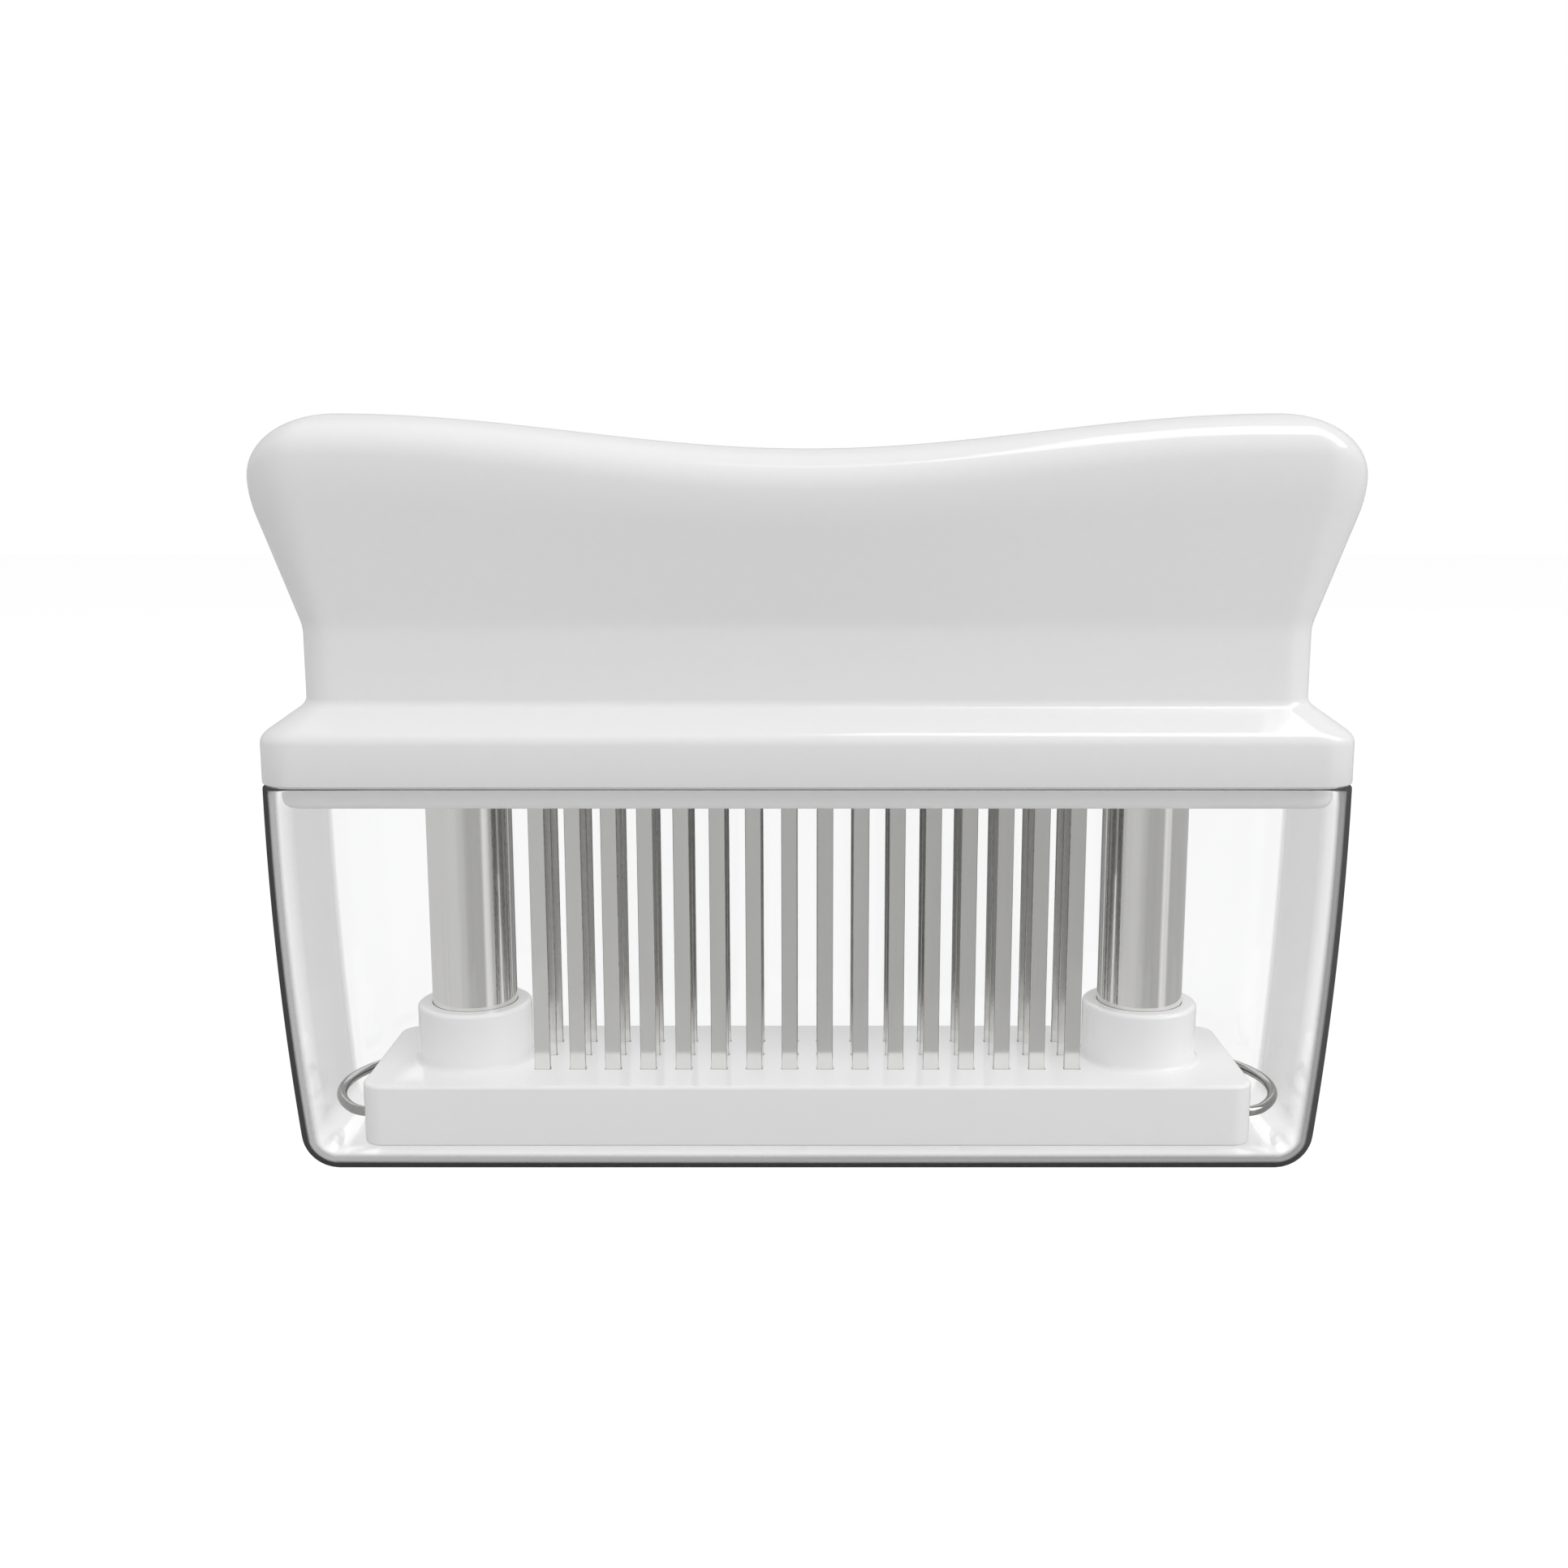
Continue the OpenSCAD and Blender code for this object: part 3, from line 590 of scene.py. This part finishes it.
def makeHandle():
    s = handleSize
    handle = linkPiece("handle_grip", loftMesh("handle_grip", handleRings(), s["sharpAngle"]))
    low, top = layout["footZ"] - s["pastFoot"], layout["boreTop"]
    roof = layout["carrierTop"] + layout["carrierGap"]
    outline = s["pocketX"], s["pocketY"], s["pocketRadius"]
    pocket = loftMesh("pocket", [flatRing(*outline, z, s["pocketSteps"]) for z in (low, roof)])
    # a spring stands in each bore, around a post that hangs from its end
    r, post, postEnd = s["boreRadius"], s["postRadius"], top - s["postHeight"]
    bore = [(0, low), (r, low), (r, top), (post, top), (post, postEnd), (0, postEnd)]
    inPocket, radius = layout["footZ"] + past, s["screwRadius"]
    hole = [(0, inPocket), (radius, inPocket), (radius, s["screwTop"]), (0, s["screwTop"])]
    holes = [spun("hole", hole, x, y, s["screwSegments"]) for x, y in screwPlaces()]
    cut(handle, [linkPiece("pocket", pocket)])
    cut(handle, onColumns("bore", bore) + holes)
    tidyMesh(handle.data, s["sharpAngle"])
    return place(handle, "tool", ["handle"], "handlePlastic", "white_plastic")


makeHandle()
print("handle made")

carrierSize = {
    "lipX": 70.8, "lipY": 15.5, "lipRadius": 4.2, "lipEdge": 1.2, "lipSteps": 8, "steps": (10, 8, 2),
    "blockX": 66.85, "blockY": 12.15, "blockRadius": 2.85, "floor": 2.0, "fit": 0.15, "boreRadius": 6.08,
    "headHole": 2.8, "headDepth": 1.8, "shankHole": 1.6, "holeSegments": 32,
    "pastFoot": 2.0, "pastTop": 2.4,
    "stripX": 39.8, "stripWidth": 4.3, "stripHeight": 7.0, "stripRadius": 0.3, "stripEdge": 0.15,
    "stripFit": 0.05, "seatHalf": 1.65, "seatDepth": 1.05, "lap": 0.01,
}


def makeCarrier():
    s = carrierSize
    lipZ, footZ, top = layout["lipZ"], layout["footZ"], layout["carrierTop"]
    lip = s["lipX"], s["lipY"], s["lipRadius"]
    rings = roundedFoot(*lip, lipZ, s["lipEdge"], s["lipSteps"], s["steps"])
    rings.append(flatRing(*lip, footZ, s["steps"]))
    rings += [flatRing(s["blockX"], s["blockY"], s["blockRadius"], z, s["steps"]) for z in (footZ, top)]
    carrier = linkPiece("carrier_block", loftMesh("carrier_block", rings))
    low, high = lipZ - s["pastFoot"], top + s["pastTop"]
    ledge, floor = lipZ + s["headDepth"], lipZ + s["floor"]
    r, head, shank = s["boreRadius"], s["headHole"], s["shankHole"]
    bore = [(0, low), (r, low), (r, high), (0, high)]
    hole = [(0, low), (head, low), (head, ledge), (shank, ledge), (shank, high), (0, high)]
    cutters = onColumns("bore", bore)
    cutters += [spun("hole", hole, x, y, s["holeSegments"]) for x, y in screwPlaces()]
    slots, slotHalf = [], layout["knifeWidth"] / 2 + s["fit"]
    halfX, halfY = s["stripX"] + s["fit"], s["stripWidth"] / 2 + s["fit"]
    for row in rows.values():
        y = row * layout["rowPitch"]
        cutters.append(cutterBox((-halfX, y - halfY, floor), (halfX, y + halfY, high)))
        slots += knifeCutters(row, slotHalf, s["fit"], lipZ - past, floor + past)
    cut(carrier, cutters)
    cut(carrier, slots)
    evenNormals(carrier)
    return place(carrier, "tool", ["blade_carrier"], "guardPlastic", "white_plastic")


def makeStrip(name, row):
    s = carrierSize
    fit, low = s["stripFit"], layout["lipZ"] + s["floor"]
    high = low + s["stripHeight"]
    seat = high - s["seatDepth"]
    strip = softBox("strip_bar_" + name, s["stripX"], s["stripWidth"] / 2, s["stripRadius"],
                    low, high, s["stripEdge"])
    strip.data.transform(Matrix.Translation((0, row * layout["rowPitch"] * millimetre, 0)))
    slots = knifeCutters(row, layout["knifeWidth"] / 2 + fit, fit, low - past, seat + s["lap"])
    seats = knifeCutters(row, s["seatHalf"], fit, seat, high + past)
    for group in (slots, seats):
        cut(strip, group)
    evenNormals(strip)
    return place(strip, "tool", ["strip_" + name], "stripPlastic", "strip_plastic")


makeCarrier()
for name, row in rows.items():
    makeStrip(name, row)
print("carrier and strips made")

knifeSize = {
    "pointZ": 5.2, "pointHeight": 2.4, "point": (0.06, 0.03), "pointEdge": 0.02, "grindShare": 0.6,
    "grindThick": 0.96, "top": 60.4, "headWidth": 3.2, "headHeight": 1.0, "edge": 0.07, "sharpAngle": 20,
}


def knifeMesh():
    s = knifeSize
    w, t, e, head = layout["knifeWidth"] / 2, layout["knifeThick"] / 2, s["edge"], s["headWidth"] / 2
    grind = s["pointZ"] + s["pointHeight"] * s["grindShare"]
    shoulder, neck = s["pointZ"] + s["pointHeight"], s["top"] - s["headHeight"]

    def section(z, halfX, halfY, bevel):
        right = [(halfX - bevel, -halfY), (halfX, bevel - halfY),
                 (halfX, halfY - bevel), (halfX - bevel, halfY)]
        return [(x, y, z) for x, y in right + [(-x, -y) for x, y in right]]

    rings = [
        section(s["pointZ"], *s["point"], s["pointEdge"]),
        section(grind, w * s["grindShare"], t * s["grindThick"], s["pointEdge"]),
        section(shoulder, w, t, e),
        section(neck, w, t, e),
        section(neck, head, t, e),
        section(s["top"], head, t, e),
    ]
    corners = len(rings[0])
    last = corners * (len(rings) - 1)
    faces = [tuple(range(corners))[::-1], tuple(range(last, last + corners))]
    for a in range(0, last, corners):
        for i in range(corners):
            j = (i + 1) % corners
            faces.append((a + i, a + j, a + corners + j, a + corners + i))
    return meshFrom("knife", [p for ring in rings for p in ring], faces, s["sharpAngle"])


class Recipe(Nodes):
    # a geometry tree; each input comes with the kind of its socket
    def __init__(self, name, inputs):
        super().__init__(bpy.data.node_groups.new(name, "GeometryNodeTree"))
        face = self.tree.interface
        for socket, kind in [("Geometry", "Geometry"), *inputs.items(), ("Finish", "Material")]:
            face.new_socket(socket, in_out="INPUT", socket_type="NodeSocket" + kind)
        face.new_socket("Geometry", in_out="OUTPUT", socket_type="NodeSocketGeometry")
        self.given = self.add("NodeGroupInput").outputs

    def deliver(self, geometry):
        real = self.add("GeometryNodeRealizeInstances", {"Geometry": geometry}).outputs["Geometry"]
        finish = self.given["Finish"]
        painted = self.add("GeometryNodeSetMaterial", {"Geometry": real, "Material": finish})
        self.add("NodeGroupOutput", {"Geometry": painted.outputs["Geometry"]})
        return self.tree


def feedTree(piece, tree, values):
    modifier = piece.modifiers.new(tree.name, "NODES")
    modifier.node_group = tree
    inputs = [item for item in tree.interface.items_tree if item.in_out == "INPUT"]
    identifiers = {item.name: item.identifier for item in inputs}
    for socket, value in values.items():
        modifier[identifiers[socket]] = value
    bakeModifiers(piece)


def knifeRowTree():
    recipe = Recipe("knifeRow", {"Knife": "Object", "Count": "Int", "Pitch": "Float",
                                 "Row Offset": "Float"})
    given = recipe.given
    span = recipe.math("MULTIPLY", recipe.math("SUBTRACT", given["Count"], 1), given["Pitch"])
    first = {"X": recipe.math("MULTIPLY", span, -0.5), "Y": given["Row Offset"]}
    start = recipe.add("ShaderNodeCombineXYZ", first).outputs["Vector"]
    step = recipe.add("ShaderNodeCombineXYZ", {"X": given["Pitch"]}).outputs["Vector"]
    spacing = {"Count": given["Count"], "Start Location": start, "Offset": step}
    line = recipe.add("GeometryNodeMeshLine", spacing, mode="OFFSET")
    knife = recipe.add("GeometryNodeObjectInfo", {"Object": given["Knife"]}).outputs["Geometry"]
    line = line.outputs["Mesh"]
    scatter = recipe.add("GeometryNodeInstanceOnPoints", {"Points": line, "Instance": knife})
    return recipe.deliver(scatter.outputs["Instances"])


def makeKnives():
    # one ground knife, repeated along each row
    tree = knifeRowTree()
    knife = linkPiece("knife", knifeMesh())
    for name, row in rows.items():
        knives = linkPiece("knives_" + name, bpy.data.meshes.new("knives_" + name))
        feedTree(knives, tree, {
            "Knife": knife, "Count": layout["bladesPerRow"], "Pitch": layout["bladePitch"] * millimetre,
            "Row Offset": row * layout["rowPitch"] * millimetre, "Finish": finishes["knifeSteel"],
        })
        place(knives, "tool", ["blades_" + name], "knifeSteel", "knife_steel")
        # light passes the thin knives, so the plate between them stays bright
        knives.visible_shadow = False
        knives.visible_diffuse = False
    bpy.data.objects.remove(knife)


makeKnives()
print("knives made")

springSize = {
    "wire": 0.9, "outer": 8.8, "turns": 13, "steps": 36, "gap": 0.05, "travel": 30.2, "around": 12,
}
clipSize = {
    "wire": 1.4, "legY": 6.05, "legEnd": 40.5, "loopHalf": 10.8, "apex": 67.4, "bowRadius": 14.0,
    "shoulderRadius": 4.6, "bendRadius": 1.5, "bendAngle": 45, "straight": 0.3, "bowSpare": 4,
    "bendSteps": 6, "shoulderSteps": 12, "bowSteps": 20, "around": 20,
}


def wireTree():
    recipe = Recipe("wireAlongPath", {"Wire Radius": "Float", "Sides": "Int"})
    given = recipe.given
    path = recipe.add("GeometryNodeMeshToCurve", {"Mesh": given["Geometry"]}).outputs["Curve"]
    size = {"Radius": given["Wire Radius"], "Resolution": given["Sides"]}
    ring = recipe.add("GeometryNodeCurvePrimitiveCircle", size).outputs["Curve"]
    curves = {"Curve": path, "Profile Curve": ring}
    sweep = recipe.add("GeometryNodeCurveToMesh", {**curves, "Fill Caps": True})
    return recipe.deliver(sweep.outputs["Mesh"])


def wirePiece(name, tree, path, size):
    # a round wire swept along the path
    mesh = bpy.data.meshes.new(name)
    points = [tuple(c * millimetre for c in p) for p in path]
    mesh.from_pydata(points, [(i, i + 1) for i in range(len(path) - 1)], [])
    piece = linkPiece(name, mesh)
    feedTree(piece, tree, {"Wire Radius": size["wire"] / 2 * millimetre, "Sides": size["around"],
                           "Finish": finishes["wireSteel"]})
    tidyMesh(piece.data, smoothing["wireAngle"])
    return piece


def springPath(x):
    s = springSize
    wire, turns = s["wire"], s["turns"]
    low = layout["springSeat"] + wire / 2 + s["gap"]
    high = layout["boreTop"] - wire / 2 - s["gap"]
    middle = s["outer"] / 2 - wire / 2
    path = []
    for k in range(turns * s["steps"] + 1):
        # the end turns lie closed, the others are evenly spaced
        turn = k / s["steps"]
        if turn < 1:
            z = low + wire * turn
        elif turn > turns - 1:
            z = high - wire * (turns - turn)
        else:
            z = low + wire + (high - low - 2 * wire) * (turn - 1) / (turns - 2)
        a = 2 * math.pi * turn
        path.append((x + middle * math.cos(a), middle * math.sin(a), z))
    return path


def clipPath(side):
    s = clipSize
    bend, spare, legY, loop = s["bendRadius"], s["bowSpare"], s["legY"], s["loopHalf"]
    bowX = s["apex"] - s["bowRadius"]
    shoulderY = loop - s["shoulderRadius"]
    reach = s["bowRadius"] - s["shoulderRadius"]
    shoulderX = bowX + math.sqrt(reach ** 2 - shoulderY ** 2)
    bow = math.degrees(math.asin(shoulderY / reach))
    outX = shoulderX - s["straight"]
    inX = outX - (loop - legY) - 2 * bend * math.tan(math.radians(s["bendAngle"] / 2))
    half = [(s["legEnd"], legY)]
    half += arc(inX, legY + bend, bend, -90, s["bendAngle"] - 90, s["bendSteps"])
    half += arc(outX, loop - bend, bend, 90 + s["bendAngle"], 90, s["bendSteps"])
    half += arc(shoulderX, shoulderY, s["shoulderRadius"], 90, bow, s["shoulderSteps"])
    whole = half + arc(bowX, 0, s["bowRadius"], bow - spare, spare - bow, s["bowSteps"])
    whole += [(x, -y) for x, y in reversed(half)]
    return [(side * x, y, layout["clipZ"]) for x, y in whole]


def makeWires():
    tree = wireTree()
    # the column's foot pushes the spring up against the end of its bore
    for name, side in sides.items():
        spring = wirePiece("spring_coil_" + name, tree, springPath(side * layout["columnX"]), springSize)
        place(spring, "tool", ["spring_" + name], "wireSteel", "spring_steel")
        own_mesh(spring)
        clip = wirePiece("clip_wire_" + name, tree, clipPath(side), clipSize)
        place(clip, "pull_clip_" + name, ["clip_" + name], "wireSteel", "spring_steel")


makeWires()
print("springs and clips made")

plateSize = {
    "halfX": 61.7, "halfY": 13.5, "radius": 3.0, "edge": 0.5, "steps": (10, 24, 4), "bossRadius": 8.1,
    "bossEdge": 0.6, "bossFoot": 0.9, "bossSink": 2.0, "bossSteps": 8, "boreRadius": 6.08, "seatZ": 5.0,
    "slotFit": 0.15, "mouthX": 53.77, "mouthY": 11.8, "trackX": 40.1, "trackY": 7.0, "slotHeight": 1.9,
    "trackInset": 0.001,
}


def endCutters(inner, outer, halfY, height):
    # one box at each end of the plate, around the clip's level
    low, high = layout["clipZ"] - height / 2, layout["clipZ"] + height / 2
    ends = [sorted((side * inner, side * outer)) for side in sides.values()]
    return [cutterBox((a, -halfY, low), (b, halfY, high)) for a, b in ends]


def makePlate():
    s = plateSize
    low, top, high = layout["plateZ"], layout["plateTop"], layout["bossTop"]
    plate = softBox("guard_slab", s["halfX"], s["halfY"], s["radius"], low, top, s["edge"], s["steps"])
    foot, edge, sunk = s["bossRadius"] + s["bossFoot"], s["bossEdge"], top - s["bossSink"]
    boss = [(0, sunk), (foot, sunk), (foot, top)]
    boss += arc(foot, top + s["bossFoot"], s["bossFoot"], 270, 180, s["bossSteps"])[1:]
    boss += arc(s["bossRadius"] - edge, high - edge, edge, 0, 90, s["bossSteps"])
    boss.append((0, high))
    combine(plate, onColumns("boss", boss), "UNION")
    r, seat = s["boreRadius"], s["seatZ"]
    bore = [(0, seat), (r, seat), (r, high + past), (0, high + past)]
    cutters, halfX = onColumns("bore", bore), layout["knifeWidth"] / 2 + s["slotFit"]
    for row in rows.values():
        cutters += knifeCutters(row, halfX, s["slotFit"], low - past, top + past)
    # each clip has a wide mouth and a narrower track; the inset keeps their faces apart
    mouth, track = s["slotHeight"], s["slotHeight"] - 2 * s["trackInset"]
    mouths = endCutters(s["mouthX"], s["halfX"] + past, s["mouthY"], mouth)
    tracks = endCutters(s["trackX"], s["mouthX"] + past, s["trackY"], track)
    cut(plate, cutters)
    cut(plate, mouths, tracks)
    evenNormals(plate)
    return place(plate, "guard", ["guard_plate"], "guardPlastic", "guard_plastic")


makePlate()
print("guard plate made")

columnSize = {
    "radius": 6.0, "inner": 5.0, "low": 13.4, "top": 62.6, "chamfer": 0.25, "segments": 160,
    "footZ": 5.0, "footEdge": 0.5, "groove": 5.25, "grooveHeight": 1.9, "plugFit": 0.03, "plugEdge": 0.6,
    "collarRadius": 7.2, "collarHeight": 1.5, "collarEdge": 0.3, "collarFit": 0.02,
}
screwSize = {
    "sink": 0.4, "face": 2.1, "head": 2.6, "headEdge": 0.4, "headHeight": 1.4,
    "shank": 1.45, "shankTop": 68.6, "tip": 0.9, "top": 69.2,
    "recessLong": 1.3, "recessHalf": 0.3, "recessDepth": 0.8, "lap": 0.01, "segments": 32,
}


def makeColumns():
    s = columnSize
    r, inner, low, top, c = s["radius"], s["inner"], s["low"], s["top"], s["chamfer"]
    tube = [(inner, low), (r, low), (r, top - c), (r - c, top), (inner, top)]
    # the solid foot carries the clip's groove, and its plug fills the end of the tube
    z0, z1 = layout["clipZ"] - s["grooveHeight"] / 2, layout["clipZ"] + s["grooveHeight"] / 2
    foot, edge, groove = s["footZ"], s["footEdge"], s["groove"]
    plug, seat = inner - s["plugFit"], layout["springSeat"]
    footing = [(0, foot), (r - edge, foot), (r, foot + edge), (r, z0), (groove, z0), (groove, z1),
               (r, z1), (r, low), (plug, low), (plug, seat - s["plugEdge"]),
               (inner - s["plugEdge"], seat), (0, seat)]
    ring, outer, z = r + s["collarFit"], s["collarRadius"], layout["carrierTop"] + layout["carrierGap"]
    collar = [(ring, z), (outer - s["collarEdge"], z), (outer, z + s["collarEdge"]),
              (outer, z + s["collarHeight"]), (ring, z + s["collarHeight"])]
    for name, side in sides.items():
        x = side * layout["columnX"]
        place(spun("column_tube_" + name, tube, x, 0, s["segments"], True), "guard",
              ["column_" + name], "columnSteel", "column_steel")
        place(spun("column_plug_" + name, footing, x), "guard",
              ["column_foot_" + name], "columnSteel", "column_steel")
        place(spun("collar_ring_" + name, collar, x, closed=True), "guard",
              ["stop_collar_" + name], "screwSteel", "screw_steel")


def makeScrews():
    s = screwSize
    low = layout["lipZ"] + s["sink"]
    under, long, half = low + s["headHeight"], s["recessLong"], s["recessHalf"]
    profile = [(0, low), (s["face"], low), (s["head"], low + s["headEdge"]), (s["head"], under),
               (s["shank"], under), (s["shank"], s["shankTop"]), (s["tip"], s["top"]), (0, s["top"])]
    screws = []
    for x, y in screwPlaces():
        screw = spun("screw", profile, x, y, s["segments"])
        # a cross recess from two boxes, one a little shallower so that their ends don't coincide
        deep = low + s["recessDepth"]
        along = cutterBox((x - long, y - half, low - past), (x + long, y + half, deep))
        across = cutterBox((x - half, y - long, low - past), (x + half, y + long, deep - s["lap"]))
        cut(screw, [along], [across])
        screws.append(screw)
    joined = joinPieces("carrier_screw_set", screws)
    tidyMesh(joined.data, smoothing["spunAngle"])
    place(joined, "tool", ["carrier_screws"], "screwSteel", "screw_steel")


makeColumns()
makeScrews()
print("columns and screws made")

studioSize = {
    "floorHalf": 3.0, "floorBounce": 0.56, "floorWhite": 0.90, "floorTint": 0.15, "floorRoughness": 0.9,
    "skyDiffuse": 0.575,
    # strength of the surround that polished metal shows, by the angle from the front towards +X
    "surround": [(-180, 0.55), (-124, 0.63), (-28, 0.63), (-10, 0.54), (1, 0.44), (39, 0.44), (47, 0.86),
                 (57, 0.76), (66, 0.46), (128, 0.46), (150, 0.52), (180, 0.55)],
    "overhead": 0.9, "overheadRise": (0.80, 0.97),
    "lowBehind": -0.62, "behind": (0.86, 0.92), "low": (-0.02, -0.12),
}
lampSize = {
    # the top panel only draws the gloss along the edges, and the others only light
    "top_panel": {"place": (0.45, -0.13, 0.83), "aim": 0.08, "size": (0.41, 1.0), "energy": 4.9,
                  "unseen": "visible_diffuse"},
    "right_panel": {"place": (0.803, -0.324, 0.55), "aim": 0.05, "size": (0.85, 0.4), "energy": 3.1,
                    "unseen": "visible_glossy"},
    "front_panel": {"place": (-0.08, -0.50, 0.91), "aim": 0.05, "size": (1.2, 0.4), "energy": 2.9,
                    "unseen": "visible_glossy"},
    "back_panel": {"place": (0.0, 0.82, 0.62), "aim": 0.05, "size": (1.2, 0.5), "energy": 2.0,
                   "unseen": "visible_glossy"},
}
cameraSize = {
    "sensor": 36.0, "lens": 37.27, "shiftX": -0.0148, "nearest": 0.01, "furthest": 50,
    "place": (0, -0.22686, 0.09089), "tilt": 9.68,
}


def makeFloor():
    s = studioSize
    half = s["floorHalf"]
    mesh = bpy.data.meshes.new("studio_floor")
    corners = [(-half, -half, 0), (half, -half, 0), (half, half, 0), (-half, half, 0)]
    mesh.from_pydata(corners, [], [(0, 1, 2, 3)])
    floor = linkPiece("studio_floor", mesh)
    finish = Finish("paleFloor", **{"Roughness": s["floorRoughness"], "Specular IOR Level": 0.0})
    seen, mirrored = finish.rayKinds()
    bounce, tint = (*grey(s["floorBounce"]), 1), (*grey(s["floorTint"]), 1)
    finish.feed(finish.shader, {"Base Color": finish.mix("RGBA", seen, bounce, tint)})
    glow = finish.math("MULTIPLY", seen, s["floorWhite"])
    white = finish.add("ShaderNodeEmission", {"Strength": glow})
    shaders = {0: finish.shader.outputs["BSDF"], 1: white.outputs["Emission"]}
    lit = finish.add("ShaderNodeAddShader", shaders)
    # polished metal shows the surround in place of the floor
    clear = finish.add("ShaderNodeBsdfTransparent")
    surface = finish.mixShaders(mirrored, lit.outputs["Shader"], clear.outputs["BSDF"])
    finish.feed(finish.tree.nodes["Material Output"], {"Surface": surface})
    mesh.materials.append(finish.material)


def makeSky():
    s = studioSize
    scene.world = bpy.data.worlds.new("studioSky")
    scene.world.use_nodes = True
    sky = Nodes(scene.world.node_tree)
    sky.tree.nodes.clear()

    def background(colour, strength):
        node = sky.add("ShaderNodeBackground", {"Color": colour, "Strength": strength})
        return node.outputs["Background"]

    seen, mirrored = sky.rayKinds()
    coordinates = sky.add("ShaderNodeTexCoord").outputs
    parts = sky.add("ShaderNodeSeparateXYZ", {"Vector": coordinates["Generated"]}).outputs
    angle = sky.math("ARCTAN2", parts["X"], sky.math("MULTIPLY", parts["Y"], -1))
    turn = sky.math("MULTIPLY_ADD", angle, 0.5 / math.pi, 0.5)
    stops = [(degrees / 360 + 0.5, grey(strength)) for degrees, strength in s["surround"]]
    panels = sky.ramp(turn, stops)
    # a soft panel hangs overhead
    high = sky.spread(parts["Z"], 1.0, 1.0 + s["overhead"], *s["overheadRise"],
                      interpolation_type="SMOOTHSTEP")
    # and what lies low behind is darker
    behind = sky.spread(parts["Y"], 0.0, 1.0, *s["behind"])
    dim = sky.math("MULTIPLY", behind, sky.spread(parts["Z"], 0.0, 1.0, *s["low"]))
    around = background(panels, sky.math("MULTIPLY_ADD", dim, s["lowBehind"], high))
    glossy = sky.mixShaders(mirrored, background((1, 1, 1, 1), s["skyDiffuse"]), around)
    surface = sky.mixShaders(seen, glossy, background((1, 1, 1, 1), 1.0))
    sky.add("ShaderNodeOutputWorld", {"Surface": surface})


def areaLamp(name, place, aim, size, energy, unseen):
    data = bpy.data.lights.new(name, "AREA")
    data.shape = "RECTANGLE"
    data.size, data.size_y = size
    data.energy = energy
    lamp = linkPiece(name, data)
    lamp.location = place
    lamp.rotation_euler = (Vector((0, 0, aim)) - Vector(place)).to_track_quat("-Z", "Y").to_euler()
    setattr(lamp, unseen, False)


def makeCamera():
    s = cameraSize
    data = bpy.data.cameras.new("front_camera")
    data.sensor_width, data.lens, data.shift_x = s["sensor"], s["lens"], s["shiftX"]
    data.clip_start, data.clip_end = s["nearest"], s["furthest"]
    camera = linkPiece("front_camera", data)
    camera.location = s["place"]
    camera.rotation_euler = (math.radians(90 - s["tilt"]), 0, 0)
    scene.camera = camera


makeFloor()
makeSky()
for name, values in lampSize.items():
    areaLamp(name, **values)
makeCamera()
scene.view_settings.view_transform = "Standard"
